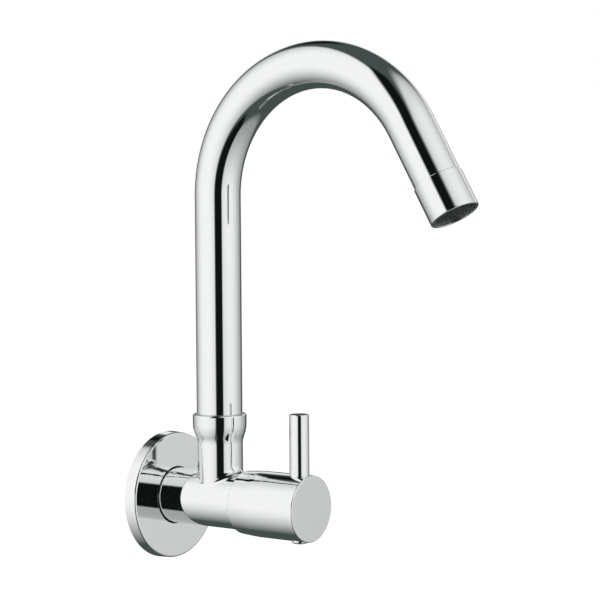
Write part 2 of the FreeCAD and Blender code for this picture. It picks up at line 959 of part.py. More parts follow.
def make_lever_screw():
    """Holds the lever from below; its round head stands a little proud of the knob."""
    body = start("lever_screw")
    foot = knob_radius + size.nub_proud
    tip = foot - size.lever_foot + size.lever_tap - size.tip_gap
    turned(body, [
        (0, 0),
        (size.nub_radius, 0),
        (size.nub_radius, size.nub_height),
        (size.screw_radius, size.nub_height),
        (size.screw_radius, tip),
        (0, tip),
    ])
    bevelled(body, rims(body, [(size.nub_radius, 0)]), size.nub_edge)
    pushed(body, lambda s: draw_loop(s, key_loop(size.screw_key)), size.nub_height / 2,
           cut=True, back=True)
    on_lever(body, -foot)


# ---- spout -----------------------------------------------------------------------------


def make_glide_ring():
    """Plastic ring that the tube stands on and turns in."""
    body = start("spout_glide_ring")
    top = size.neck_top - size.glide_drop
    inner = neck_bore + size.stop_gap
    turned(body, [
        (inner, size.collar_start),
        (glide_radius, size.collar_start),
        (glide_radius, top),
        (glide_bore, top),
        (glide_bore, tube_foot),
        (inner, tube_foot),
    ])
    on_neck(body)


def make_lock_screw():
    """Short screw through the neck's back wall; its tip runs in the bush's groove."""
    body = start("spout_lock_screw")
    thread_start = neck_bore + size.stop_gap - lock_reach
    outer = neck_radius - size.lock_recess - lock_reach
    turned(body, [
        (0, 0),
        (size.lock_tip, 0),
        (size.lock_tip, thread_start),
        (size.lock_radius, thread_start),
        (size.lock_radius, outer),
        (0, outer),
    ])
    pushed(body, lambda s: draw_loop(s, key_loop(size.lock_radius)), size.lock_tip, cut=True,
           lift=outer)
    body.Placement = Placement(Vector(), INTO_WALL)
    tie(body, "Placement.Base.y", lock_reach - size.riser_offset)
    tie(body, "Placement.Base.z", lock_height)


def bearing_cut(height, width, floor):
    """The outline's points for a groove in the spout's bearing, centred on a height."""
    low = height - width / 2
    high = height + width / 2
    return [(bearing_radius, low), (floor, low), (floor, high), (bearing_radius, high)]


def make_bush():
    """Brazed foot of the spout: bearing, two ring grooves and the lock groove between."""
    body = start("spout_bush")
    floor = size.neck_floor + size.bush_rise
    turned(body, [
        (bush_bore, floor),
        (bearing_radius, floor),
        *bearing_cut(lower_ring, size.ring_width, ring_floor),
        *bearing_cut(lock_height, (size.lock_tip + size.play_gap) * 2, lock_floor),
        *bearing_cut(upper_ring, size.ring_width, ring_floor),
        (bearing_radius, tube_foot),
        (tube_bore - size.fit_gap, tube_foot),
        (tube_bore - size.fit_gap, bush_top),
        (tube_bore - size.bush_rim, bush_top),
        (bush_bore, bush_top - size.bush_taper),
    ])
    on_neck(body)


def make_spout_rings():
    for side, height in (("lower", lower_ring), ("upper", upper_ring)):
        on_neck(make_ring(f"spout_o_ring_{side}", ring_floor, neck_bore, height))


def draw_route(sketch):
    """The tube's middle line: riser, one wide bend and the straight run to the outlet."""
    low = (0, tube_foot)
    high = (0, size.bend_start)
    centre = (size.bend_radius, size.bend_start)
    bend_end = outlet_point(as_size(0))
    tube_end = outlet_point(size.outlet_run - size.sleeve_length)
    circle = Part.Circle(flat(centre), Vector(0, 0, 1), size.bend_radius.value)
    from_end = math.radians(180 - size.bend_angle.value)
    sketch.addGeometry([
        Part.LineSegment(flat(low), flat(high)),
        Part.ArcOfCircle(circle, from_end, math.pi),
        Part.LineSegment(flat(bend_end), flat(tube_end)),
    ], False)
    pin_point(sketch, (0, 1), low)
    pin_point(sketch, (0, 2), high)
    pin_point(sketch, (1, 3), centre)
    sketch.addConstraint(Sketcher.Constraint("Coincident", 1, 2, 0, 2))
    sketch.addConstraint(Sketcher.Constraint("Tangent", 1, 1, 2, 1))
    pin_point(sketch, (2, 2), tube_end)


def make_tube():
    """The gooseneck: a tube of even wall swept along its route."""
    body = start("spout_tube")
    route = new_sketch(body, "XZ_Plane")
    draw_route(route)
    section = new_sketch(body, "XY_Plane", tube_foot)
    draw_circle(section, (0, 0), size.tube_radius)
    draw_circle(section, (0, 0), tube_bore)
    pipe = body.newObject("PartDesign::AdditivePipe", "Gooseneck")
    pipe.Profile = section
    pipe.Spine = route
    settle(body, pipe, False)
    on_neck(body)


# ---- outlet ----------------------------------------------------------------------------


def make_outlet_bush():
    """Brazed into the tube's end; its wider front carries the sleeve's thread."""
    body = start("outlet_bush")
    end = size.sleeve_length + size.outlet_bush_depth
    turned(body, [
        (outlet_bore, bush_station),
        (outlet_fit, bush_station),
        (outlet_fit, size.sleeve_length),
        (outlet_shank, size.sleeve_length),
        (outlet_shank, end),
        (outlet_bore, end),
    ])
    on_outlet(body)


def make_sleeve():
    """The chromed end sleeve, with an inward lip that holds the aerator."""
    body = start("aerator_sleeve")
    turned(body, [
        (sleeve_mouth, 0),
        (sleeve_radius, 0),
        (sleeve_radius, size.sleeve_length),
        (sleeve_bore, size.sleeve_length),
        (sleeve_bore, size.sleeve_lip),
        (sleeve_mouth, size.sleeve_lip),
    ])
    bevelled(body, rims(body, [(sleeve_radius, 0)]), size.sleeve_edge)
    on_outlet(body)


def make_aerator_seal():
    body = start("aerator_seal")
    turned(body, box_loop((outlet_bore, seal_station), (outlet_fit, bush_station)))
    on_outlet(body)


def make_screen():
    """Domed gauze with a flat rim; its mesh is too fine for a solid."""
    body = start("aerator_screen")
    foot = outlet_bore - size.fit_gap
    crown = foot / 2
    high = screen_station + size.screen_dome
    turned(body, [
        (0, high - size.screen_rim),
        (crown, high - size.screen_rim),
        (foot - size.screen_rim, screen_station),
        (outlet_fit, screen_station),
        (outlet_fit, seal_station),
        (foot, seal_station),
        (crown, high),
        (0, high),
    ])
    on_outlet(body)


def make_jet_disc():
    """Plate with a ring of small jets."""
    body = start("aerator_jet_disc")
    turned(body, box_loop((0, jet_station), (outlet_fit, screen_station)))
    jet = pushed(body, lambda s: draw_circle(s, (size.jet_circle, 0), size.jet_radius),
                 size.jet_plate, cut=True, lift=screen_station)
    repeated(body, jet, size.jet_count)
    on_outlet(body)


def honeycomb(pitch, web, reach, start_at, depth):
    """Hexagonal prisms on a triangular lattice, each whole inside the reach."""
    corner = (pitch - web) / math.sqrt(3)
    turns = [math.radians(60 * step + 30) for step in range(7)]
    cell = [Vector(corner * math.cos(t), corner * math.sin(t), start_at) for t in turns]
    prism = Part.Face(Part.makePolygon(cell)).extrude(Vector(0, 0, depth))
    count = int(reach / pitch) + 1
    cells = []
    for row in range(-count, count + 1):
        for column in range(-2 * count, 2 * count + 1):
            place = Vector((column + row / 2) * pitch, row * pitch * math.sqrt(3) / 2, 0)
            if place.Length + corner <= reach:
                cells.append(prism.translated(place))
    return Part.makeCompound(cells)


def make_grid():
    """The outlet's honeycomb: a cup whose floor is all hexagonal cells."""
    radius = outlet_fit.value
    inside = sleeve_mouth.value - size.grid_web.value
    start_at = size.sleeve_lip.value
    height = size.grid_height.value
    plate = size.grid_plate.value
    cup = Part.makeCylinder(radius, height, Vector(0, 0, start_at))
    hollow = Part.makeCylinder(inside, height - plate, Vector(0, 0, start_at + plate))
    cells = honeycomb(size.grid_pitch.value, size.grid_web.value, inside - size.stop_gap.value,
                      start_at, plate)
    item = keep(doc.addObject("Part::Feature", "aerator_grid"), "aerator_grid")
    item.Shape = cup.cut(hollow).cut(cells)
    on_outlet(item)


# ---- build and write -------------------------------------------------------------------

MAKERS = [
    make_flange, make_flange_ring, make_nipple, make_strainer, make_inlet_washer,
    make_valve_body, make_housing, make_seat_seal, make_fixed_disc, make_moving_disc,
    make_spindle, make_spindle_rings, make_thrust_washer, make_clip, make_headwork_ring,
    make_insert, make_handle_screw, make_knob, make_lever, make_lever_screw,
    make_glide_ring, make_lock_screw, make_bush, make_spout_rings, make_tube,
    make_outlet_bush, make_sleeve, make_aerator_seal, make_screen, make_jet_disc, make_grid,
]


def check():
    for item in doc.Objects:
        if "Invalid" in item.State or "Error" in item.State:
            raise RuntimeError(f"{item.Label} failed: {item.State}")
    for item in parts:
        if item.Shape.isNull() or not item.Shape.isValid() or not item.Shape.Solids:
            raise RuntimeError(f"{item.Label} has no sound shape")


def write():
    os.makedirs("parts", exist_ok=True)
    for item in parts:
        item.Shape.exportStep(os.path.join("parts", f"{item.Label}.step"))
        print(f"{item.Label}: {len(item.Shape.Solids)} solid, {item.Shape.Volume:.1f} mm3")


for make in MAKERS:
    make()
doc.recompute()
check()
write()
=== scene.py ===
import json
import math

import bmesh
import bpy
from bpy.props import FloatProperty, FloatVectorProperty, IntProperty, PointerProperty, StringProperty
from bpy.types import Operator, Panel, PropertyGroup
from mathutils import Matrix, Vector


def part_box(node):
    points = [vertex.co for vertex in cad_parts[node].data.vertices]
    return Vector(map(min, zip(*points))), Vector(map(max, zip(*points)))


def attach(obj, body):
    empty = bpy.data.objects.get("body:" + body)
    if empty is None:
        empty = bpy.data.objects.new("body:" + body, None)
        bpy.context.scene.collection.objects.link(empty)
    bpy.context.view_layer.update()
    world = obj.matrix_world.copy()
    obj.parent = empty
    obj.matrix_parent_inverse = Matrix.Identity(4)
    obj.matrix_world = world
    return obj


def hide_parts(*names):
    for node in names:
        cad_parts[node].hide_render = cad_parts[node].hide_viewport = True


# A chromed wall faucet, dressed over its CAD frame. Everything is in metres in the frame's own
# axes: +Y into the wall, -Y to the user, +Z up. "Station" is a distance from the wall along the
# horizontal body, "height" a distance above the body's axis.

bl_info = {
    "name": "Wall Faucet",
    "version": (1, 0, 0),
    "blender": (4, 5, 0),
    "location": "View3D > Sidebar > Faucet",
    "description": "Builds the visible surfaces, finishes and studio of a wall faucet",
    "category": "Object",
}

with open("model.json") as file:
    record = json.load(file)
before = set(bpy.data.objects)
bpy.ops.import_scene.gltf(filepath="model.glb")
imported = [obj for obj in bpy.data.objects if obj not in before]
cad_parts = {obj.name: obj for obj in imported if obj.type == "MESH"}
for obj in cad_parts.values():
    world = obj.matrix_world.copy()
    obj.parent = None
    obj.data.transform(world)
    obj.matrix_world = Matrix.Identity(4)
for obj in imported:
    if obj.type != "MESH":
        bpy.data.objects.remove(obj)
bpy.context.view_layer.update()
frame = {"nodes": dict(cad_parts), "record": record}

MM = 0.001
TURN = 2 * math.pi
WELD = 1e-7
SOFT_SHADING = math.radians(30)

# The gap between pieces that fit each other, and the rounding of a small edge.
FIT = 0.05 * MM
FINE_EDGE = 0.2 * MM

# How finely curved surfaces are cut. HEX_SIDES is a multiple of 12, so that the corners of a
# hexagon are kept.
LATHE_SIDES = 128
FLANGE_SIDES = 192
HEX_SIDES = 96
ARC_STEP = math.radians(9)
COLUMN_STEP = math.radians(3.75)
THREAD_ROWS = 12

# A port in a barrel stands in a window of the barrel's wall, which reaches this far to each side
# of it round the barrel.
NECK_REACH = math.radians(77)
LOCK_REACH = math.radians(16)
LEVER_REACH = math.radians(36)
PORT_SIDES = 96
PORT_RINGS = 8
EDGE_STEPS = 4


def high(node, axis):
    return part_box(node)[1]["xyz".index(axis)]


def low(node, axis):
    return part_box(node)[0]["xyz".index(axis)]


RISER = -(low("spout_bush", "y") + high("spout_bush", "y")) / 2
BARREL_RADIUS = high("valve_body", "x")
NECK_TOP = high("valve_body", "z")
KNOB_RADIUS = high("handle_knob", "x")
KNOB_BACK = -high("handle_knob", "y")
KNOB_FACE = -low("handle_knob", "y")
TUBE_RADIUS = high("spout_tube", "x")
TUBE_FOOT = low("spout_tube", "z")
TUBE_TOP = high("spout_tube", "z")
LEVER_RADIUS = high("lever_pin", "x")
LEVER_STATION = -(low("lever_pin", "y") + high("lever_pin", "y")) / 2


# ---- settings --------------------------------------------------------------------------


def length(name, description, default):
    return FloatProperty(name=name, description=description, default=default, unit="LENGTH",
                         precision=5)


def angle(name, description, degrees):
    return FloatProperty(name=name, description=description, default=math.radians(degrees),
                         subtype="ANGLE")


def hex_colour(name, description, default):
    return StringProperty(name=name, description=description, default=default)


class FlangeSizes(PropertyGroup):
    radius: length("Radius", "Outer radius at the wall", high("wall_flange", "x"))
    depth: length("Depth", "How far the dish stands from the wall", -low("wall_flange", "y"))
    wall: length("Wall", "Thickness of the sheet", 1.2 * MM)
    draft: length("Draft", "How much smaller the face is than the back", 0.3 * MM)
    edge: length("Edge", "Rounding of the outer edge", 1.1 * MM)
    lip: length("Lip", "Rounding of the hole's edge", 0.5 * MM)
    lip_depth: length("Lip depth", "Depth of the lip that hides the rubber ring", 1.0 * MM)
    lip_gap: length("Lip gap", "Gap between the lip and the body", 0.45 * MM)
    gap: length("Gap", "Room for the rubber ring round the body", 1.25 * MM)
    collar: length("Collar", "Depth of the turned-in collar", 3.4 * MM)


class BodySizes(PropertyGroup):
    radius: length("Barrel radius", "Radius of the horizontal barrel", BARREL_RADIUS)
    back: length("Back", "Station of the barrel's back face", -high("valve_body", "y"))
    front: length("Front", "Station of the barrel's mouth", -low("valve_body", "y"))
    spigot: length("Spigot", "Length of the stepped front that the knob covers", 3.5 * MM)
    spigot_step: length("Spigot step", "How much thinner the stepped front is", 0.55 * MM)
    neck_radius: length("Neck radius", "Radius of the upright neck", TUBE_RADIUS + FIT)
    neck_root: length("Neck root", "Fillet between barrel and neck", 3.6 * MM)
    waist: length("Waist", "Height at which the neck starts to widen", 29.0 * MM)
    waist_round: length("Waist rounding", "Rounding of the neck's waist", 7.8 * MM)
    collar_start: length("Collar start", "Height at which the collar is full", 34.0 * MM)
    collar_radius: length("Collar radius", "Radius of the neck's collar", TUBE_RADIUS + 1.95 * MM)
    collar_round: length("Collar rounding", "Rounding where the collar is full", 16.0 * MM)
    collar_edge: length("Collar edge", "Rounding of the collar's top", 1.1 * MM)
    top: length("Neck top", "Height of the collar's top", NECK_TOP)
    break_edge: length("Edge break", "Rounding of the machined edges", 0.25 * MM)
    collar_bore: length("Collar bore", "Bore that the glide ring sits in", TUBE_RADIUS + 1.0 * MM)
    neck_bore: length("Neck bore", "Bore that the spout turns in", 9.0 * MM)
    neck_floor: length("Neck floor", "Height of the neck's inner floor", 16.5 * MM)
    waterway: length("Waterway", "Radius of the way up into the neck", 5.5 * MM)
    inlet: length("Inlet", "Radius of the connector's bore", 10.53 * MM)
    inlet_end: length("Inlet end", "Station where the connector's bore ends", 15.5 * MM)
    passage: length("Passage", "Radius of the way to the chamber", 6.0 * MM)
    seat: length("Seat", "Station of the chamber's back wall", 25.0 * MM)
    chamber: length("Chamber", "Radius of the headwork's chamber", 10.0 * MM)
    chamber_end: length("Chamber end", "Station where the chamber meets its thread", 40.0 * MM)
    head_bore: length("Head bore", "Radius of the headwork's thread", 10.45 * MM)
    mouth: length("Mouth", "Radius of the open mouth", 11.6 * MM)
    mouth_depth: length("Mouth depth", "Depth of the open mouth", 1.5 * MM)
    lock_radius: length("Lock hole", "Radius of the lock screw's hole", 2.03 * MM)
    lock_height: length("Lock height", "Height of the lock screw's hole", 25.25 * MM)


class HandleSizes(PropertyGroup):
    radius: length("Knob radius", "Radius of the knob's straight part", KNOB_RADIUS)
    back_radius: length("Back radius", "Radius of the knob at its skirt", BARREL_RADIUS + 1.55 * MM)
    back: length("Back", "Station of the skirt's edge", KNOB_BACK)
    face: length("Face", "Station of the flat face", KNOB_FACE)
    taper: length("Taper", "Length over which the skirt widens", 10.7 * MM)
    taper_round: length("Taper rounding", "Rounding where the taper ends", 45 * MM)
    skirt_round: length("Skirt rounding", "Rounding of the skirt's edge", 1.0 * MM)
    face_edge: length("Face edge", "Rounding of the face's edge", 0.65 * MM)
    cavity: length("Cavity", "Radius inside the skirt", 13.2 * MM)
    cavity_end: length("Cavity end", "Station where the skirt's inside ends", 62.5 * MM)
    bore: length("Bore", "Radius of the carrier's bore", 9.0 * MM)
    floor: length("Floor", "Station of the bore's floor", KNOB_FACE - 2.2 * MM)
    lever_radius: length("Lever radius", "Radius of the lever pin", LEVER_RADIUS)
    lever_foot: length("Lever foot", "Height of the pin's lower end", low("lever_pin", "z"))
    lever_seat: length("Lever seat", "Height of the pin's shoulder", 7.5 * MM)
    lever_top: length("Lever top", "Height of the pin's top", high("lever_pin", "z"))
    lever_edge: length("Lever edge", "Rounding of the pin's top", 0.5 * MM)
    spigot: length("Lever spigot", "Radius of the pin's thin lower end", 3.0 * MM)
    tap_depth: length("Tap depth", "Depth of the pin's threaded hole", 10.0 * MM)
    screw_radius: length("Screw radius", "Radius of the lever screw's shank", 2.0 * MM)
    screw_tip: length("Screw tip", "Height of the lever screw's tip", high("lever_screw", "z"))
    nub_radius: length("Nub radius", "Radius of the lever screw's head", high("lever_screw", "x"))
    nub_foot: length("Nub foot", "Height of the lever screw's lowest point", low("lever_screw", "z"))
    nub_height: length("Nub height", "Height of the lever screw's head", 4.2 * MM)
    nub_round: length("Nub rounding", "Rounding of the lever screw's head", 1.2 * MM)
    key: length("Key", "Hexagon key of the lever screw, across flats", 2.5 * MM)
    fit: length("Fit", "Gap round the pin and the screw's head", FIT)
    window: length("Window", "Half width of the wall's part that the holes stand in", 6.2 * MM)
    hole_edge: length("Hole edge", "Rounding of the holes' edges", FINE_EDGE)


class SpoutSizes(PropertyGroup):
    radius: length("Tube radius", "Outer radius of the tube", TUBE_RADIUS)
    wall: length("Wall", "Wall of the tube", 1.5 * MM)
    foot: length("Foot", "Height of the tube's lower end", TUBE_FOOT)
    bend_radius: length("Bend radius", "Radius of the bend's middle line", 60 * MM)
    bend_angle: angle("Bend angle", "How far the tube turns over", 150)
    run: length("Run", "Straight length after the bend, up to the sleeve", 27.5 * MM)
    sides: IntProperty(name="Sides", description="Faces round the tube", default=96, min=3)
    rings: IntProperty(name="Rings", description="Rings along the tube", default=220, min=2)


class OutletSizes(PropertyGroup):
    radius: length("Sleeve radius", "Outer radius of the end sleeve", TUBE_RADIUS + 0.5 * MM)
    length: length("Sleeve length", "Length of the end sleeve", 18 * MM)
    wall: length("Wall", "Wall of the sleeve", 0.85 * MM)
    lip: length("Lip", "Thickness of the inward lip", 1.0 * MM)
    lip_depth: length("Lip depth", "How far the lip turns in", 0.55 * MM)
    edge: length("Edge", "Rounding of the outlet's edge", 0.5 * MM)
    grid_height: length("Grid height", "Height of the honeycomb's cup", 4.5 * MM)
    grid_plate: length("Grid plate", "Thickness of the honeycomb", 2.5 * MM)
    grid_pitch: length("Grid pitch", "Distance between the honeycomb's cells", 1.5 * MM)
    grid_web: length("Grid web", "Wall between the cells", 0.55 * MM)
    grid_margin: FloatProperty(name="Grid margin", default=1.1, min=0.0,
                               description="Pitches between the last cell's middle and the mouth")
    grid_overlap: FloatProperty(name="Grid overlap", default=0.35, min=0.0,
                                description="Pitches from the last cell's middle to the cup's rim")
    grid_count: IntProperty(name="Grid cells", description="Cells along each side of the field",
                            default=17, min=3)


class ConnectorSizes(PropertyGroup):
    radius: length("Thread radius", "Outer radius of the thread", 10.4775 * MM)
    pitch: length("Pitch", "Pitch of the thread", 1.814 * MM)
    thread: length("Thread depth", "Depth of the thread", 1.162 * MM)
    reach: length("Reach", "Length that stands in the wall", high("inlet_nipple", "y"))
    bore: length("Bore", "Radius of the waterway", 6.0 * MM)
    key: length("Key", "Hexagon inside the wall end, across flats", 12.0 * MM)
    key_depth: length("Key depth", "Depth of the inner hexagon", 8.0 * MM)
    collar: length("Collar", "Thickness of the hexagonal collar", 3.2 * MM)
    flats: length("Flats", "Width of the hexagonal collar across flats", 23.5 * MM)
    flat: FloatProperty(name="Flat", description="Share of half a pitch that is flat at crest and root",
                        default=0.14, min=0.0, max=0.49)
    engage: length("Engagement", "Length screwed into the body", 9.0 * MM)


class FinishColours(PropertyGroup):
    chrome: hex_colour("Chrome", "Bright chrome plate", "#F2F3F3")
    brass: hex_colour("Brass", "Machined brass", "#C9A45C")
    stainless: hex_colour("Stainless", "Stainless steel", "#B9BBBC")
    rubber: hex_colour("Rubber", "Black rubber", "#1B1B1C")
    ceramic: hex_colour("Ceramic", "Sintered alumina", "#EDEBE2")
    white_acetal: hex_colour("White acetal", "Natural moulded acetal", "#E9E8E2")
    grey_acetal: hex_colour("Grey acetal", "Dark grey moulded acetal", "#4B5452")
    floor: hex_colour("Floor", "Pale studio floor", "#9A9A99")
    walls: hex_colour("Walls", "Dark studio walls", "#46504E")


class StageSettings(PropertyGroup):
    camera_place: FloatVectorProperty(name="Camera", description="Where the camera stands",
                                      default=(-0.74630, -0.64926, 0.14371), subtype="TRANSLATION")
    camera_yaw: angle("Yaw", "Turn of the camera about the upright axis", -52.81)
    camera_pitch: angle("Pitch", "How far the camera looks down", 2.82)
    camera_roll: angle("Roll", "Turn of the camera about its own axis", -0.39)
    lens: FloatProperty(name="Lens", description="Focal length", default=121.01,
                        subtype="DISTANCE_CAMERA")
    shift_y: FloatProperty(name="Shift", description="Upright shift of the picture", default=-0.0006)
    floor_height: length("Floor height", "Height of the floor", -0.35)
    floor_size: length("Floor size", "Width of the floor", 12.0)
    floor_glow: FloatProperty(name="Floor glow", description="Share of the floor's own white",
                              default=0.75)
    wall_distance: length("Wall distance", "How far the studio walls are", 9.0)
    light: FloatProperty(name="Light", description="Strength of the even white light", default=0.9)
    lamp: FloatProperty(name="Lamp", description="Power of the soft overhead lamp in watts",
                        default=2.0)
    lamp_size: length("Lamp size", "Width of the soft overhead lamp", 1.2)
    lamp_place: FloatVectorProperty(name="Lamp place", description="Where the lamp hangs",
                                    default=(-0.9, -0.5, 1.4), subtype="TRANSLATION")


# ---- surfaces turned about an axis -----------------------------------------------------


class Axis:
    """A turning axis: where it starts, which way it runs, and where its angles start."""

    def __init__(self, start, along, side):
        self.start = Vector(start)
        self.along = Vector(along).normalized()
        self.side = Vector(side).normalized()
        self.up = self.along.cross(self.side)

    def out(self, turn):
        return self.side * math.cos(turn) + self.up * math.sin(turn)

    def corner(self, row, turn):
        """The place and normal of an outline's (radius, distance, normal, normal) at a turn."""
        radius, distance, outward, onward = row
        out = self.out(turn)
        return self.start + self.along * distance + out * radius, self.along * onward + out * outward


class Shell:
    """Faces with an exact normal at each corner, welded where their corners meet."""

    def __init__(self):
        self.numbers = {}
        self.points = []
        self.faces = []
        self.normals = []

    def face(self, corners):
        ring = []
        for place, normal in corners:
            number = self.number(place)
            if all(number != other for other, _ in ring):
                ring.append((number, normal))
        if len(ring) < 3:
            return
        first, second, third = (self.points[number] for number, _ in ring[:3])
        facing = sum((normal for _, normal in ring), Vector())
        if (second - first).cross(third - first).dot(facing) < 0:
            ring.reverse()
        self.faces.append([number for number, _ in ring])
        self.normals.extend(normal.normalized() for _, normal in ring)

    def number(self, place):
        key = tuple(round(value / WELD) for value in place)
        if key not in self.numbers:
            self.numbers[key] = len(self.points)
            self.points.append(place)
        return self.numbers[key]

    def strip(self, row, following, closed=True):
        """Faces between two rows of corners of the same count."""
        count = len(row)
        for here in range(count if closed else count - 1):
            there = (here + 1) % count
            self.face([row[here], row[there], following[there], following[here]])

    def lathe(self, axis, stretches, turns=None):
        """Turn the stretches of an outline about an axis, with edges at these turns."""
        turns = turns or even_turns(LATHE_SIDES)
        for first, last in stretches:
            self.strip([axis.corner(first, t) for t in turns], [axis.corner(last, t) for t in turns])

    def bridge(self, axis, first, first_turns, second, second_turns):
        """Faces between two rows whose edges stand at different turns."""
        rings = []
        for row, turns in ((first, first_turns), (second, second_turns)):
            ordered = sorted(turn % TURN for turn in turns)
            rings.append([(t, axis.corner(row, t)) for t in ordered + [ordered[0] + TURN]])
        here, there = rings
        near = far = 0
        while near + far < len(here) + len(there) - 2:
            if far == len(there) - 1 or (near < len(here) - 1
                                         and here[near + 1][0] <= there[far + 1][0]):
                self.face([here[near][1], here[near + 1][1], there[far][1]])
                near += 1
            else:
                self.face([here[near][1], there[far + 1][1], there[far][1]])
                far += 1

    def finish(self, name, material):
        mesh = bpy.data.meshes.new(name)
        mesh.from_pydata(self.points, [], self.faces)
        mesh.shade_smooth()
        mesh.normals_split_custom_set(self.normals)
        mesh.materials.append(material)
        return link(name, mesh)


def link(name, data):
    """A new object with this mesh, camera or light, in the scene."""
    piece = bpy.data.objects.new(name, data)
    bpy.context.scene.collection.objects.link(piece)
    return piece


def even_turns(count, start=0.0):
    return [start + TURN * step / count for step in range(count)]


def outline(corners, closed=False):
    """Stretches of an outline given as (radius, distance, rounding) with its material on the left.

    Each stretch is a pair of (radius, distance, outward normal, onward normal)."""
    points = [Vector(corner[:2]) for corner in corners]
    count = len(points)
    legs = count if closed else count - 1
    ways = [(points[(n + 1) % count] - points[n]).normalized() for n in range(legs)]
    normals = [Vector((way.y, -way.x)) for way in ways]
    ends = [[point, point] for point in points]
    stretches = []
    for number, corner in enumerate(corners):
        inner = closed or 0 < number < count - 1
        if inner and len(corner) > 2 and corner[2] > 0:
            arc = round_off(points[number], ways[number - 1], ways[number % legs],
                            normals[number - 1], normals[number % legs], corner[2])
            ends[number] = [Vector(arc[0][:2]), Vector(arc[-1][:2])]
            stretches += list(zip(arc, arc[1:]))
    for leg in range(legs):
        start = ends[leg][1]
        stop = ends[(leg + 1) % count][0]
        stretches.append(((*start, *normals[leg]), (*stop, *normals[leg])))
    return stretches


def round_off(point, way_in, way_out, normal_in, normal_out, radius):
    """The rows of an arc that rounds a corner."""
    turn = way_in.angle(way_out)
    cut = radius * math.tan(turn / 2)
    bulge = radius if way_in.cross(way_out) > 0 else -radius
    centre = point - way_in * cut - normal_in * bulge
    steps = max(2, math.ceil(turn / ARC_STEP))
    rows = []
    for step in range(steps + 1):
        normal = normal_in.slerp(normal_out, step / steps)
        rows.append((*(centre + normal * bulge), *normal))
    return rows


# ---- ports in a barrel -----------------------------------------------------------------


def window_steps(half):
    """Even turns about a port, cast on the side of its square window."""
    quarter = PORT_SIDES // 4
    return [half * math.tan(TURN * (step / PORT_SIDES - 1 / 8)) for step in range(quarter + 1)]


def window_border():
    for turn in even_turns(PORT_SIDES):
        along, across = math.cos(turn), math.sin(turn)
        widest = max(abs(along), abs(across))
        yield along / widest, across / widest


def barrel_turns(port_turns, reach):
    """Turns of a barrel's long edges: those of its ports' windows, and even ones between."""
    turns = []
    for number, turn in enumerate(port_turns):
        turns += [turn + step for step in window_steps(reach)]
        following = port_turns[number + 1] if number + 1 < len(port_turns) else port_turns[0] + TURN
        gap = following - turn - 2 * reach
        count = math.ceil(gap / COLUMN_STEP)
        turns += [turn + reach + gap * step / count for step in range(1, count)]
    return turns


class Barrel:
    """A round wall that ports open in. facing is 1 for its outside, -1 for its inside."""

    def __init__(self, shell, axis, radius, facing, station, half, reach, port_turns):
        self.shell = shell
        self.axis = axis
        self.radius = radius
        self.facing = facing
        self.station = station
        self.half = half
        self.reach = reach
        self.port_turns = port_turns

    def corner(self, distance, turn):
        return self.axis.corner((self.radius, distance, self.facing, 0), turn)

    def belt(self):
        """The wall between the ports' windows."""
        turns = barrel_turns(self.port_turns, self.reach)
        stations = [self.station + step for step in window_steps(self.half)]
        for left, right in zip(turns, turns[1:] + [turns[0] + TURN]):
            middle = (left + right) / 2
            if any(abs((middle - port + math.pi) % TURN - math.pi) < self.reach
                   for port in self.port_turns):
                continue
            self.shell.strip([self.corner(s, left) for s in stations],
                             [self.corner(s, right) for s in stations], closed=False)

    def port(self, port_turn, radius, edge, lift, hollow=False):
        """A port's window and rolled edge. Gives the port's own axis and its wall's top row."""
        own = Axis(self.axis.start + self.axis.along * self.station, self.axis.out(port_turn),
                   self.axis.along)
        ball_radius = radius + edge
        ball_height = self.radius + lift * edge
        rim = []
        rows = [[] for _ in range(EDGE_STEPS + 1)]
        heights = []
        for turn in even_turns(PORT_SIDES):
            across = ball_radius * math.sin(turn)
            height = math.sqrt(ball_height ** 2 - across ** 2)
            lean = math.asin(across / ball_height)
            rim.append((self.station + ball_radius * math.cos(turn), port_turn - lean))
            centre = own.corner((ball_radius, height, 0, 0), turn)[0]
            to_barrel = own.along * math.cos(lean) + own.up * math.sin(lean)
            to_barrel = to_barrel * -lift
            to_wall = -own.out(turn)
            for step, row in enumerate(rows):
                way = to_barrel.slerp(to_wall, step / EDGE_STEPS)
                row.append((centre + way * edge, -way if hollow else way))
            heights.append(height)
        border = [(self.station + self.half * along, port_turn - self.reach * across)
                  for along, across in window_border()]
        self.rings(border, rim)
        for row, following in zip(rows, rows[1:]):
            self.shell.strip(row, following)
        return own, heights

    def rings(self, border, rim):
        """Rings on the wall from a window's border to a port's rim."""
        rows = []
        for step in range(PORT_RINGS + 1):
            share = step / PORT_RINGS
            rows.append([self.corner(b[0] + (r[0] - b[0]) * share, b[1] + (r[1] - b[1]) * share)
                         for b, r in zip(border, rim)])
        for row, following in zip(rows, rows[1:]):
            self.shell.strip(row, following)


def port_wall(shell, own, radius, heights, level, facing):
    """A port's round wall, from its rolled edge's heights to an even level."""
    turns = even_turns(PORT_SIDES)
    rim = [own.corner((radius, h, facing, 0), t) for h, t in zip(heights, turns)]
    even = [own.corner((radius, level, facing, 0), t) for t in turns]
    shell.strip(rim, even)


def hexagon_radius(flats, turn):
    return flats / 2 / math.cos((turn + TURN / 12) % (TURN / 6) - TURN / 12)


def flat_hexagon(shell, axis, flats, radius, level, facing, sides=HEX_SIDES):
    """A flat ring between a hexagon and a circle."""
    turns = even_turns(sides)
    shell.strip([axis.corner((hexagon_radius(flats, t), level, 0, facing), t) for t in turns],
                [axis.corner((radius, level, 0, facing), t) for t in turns])


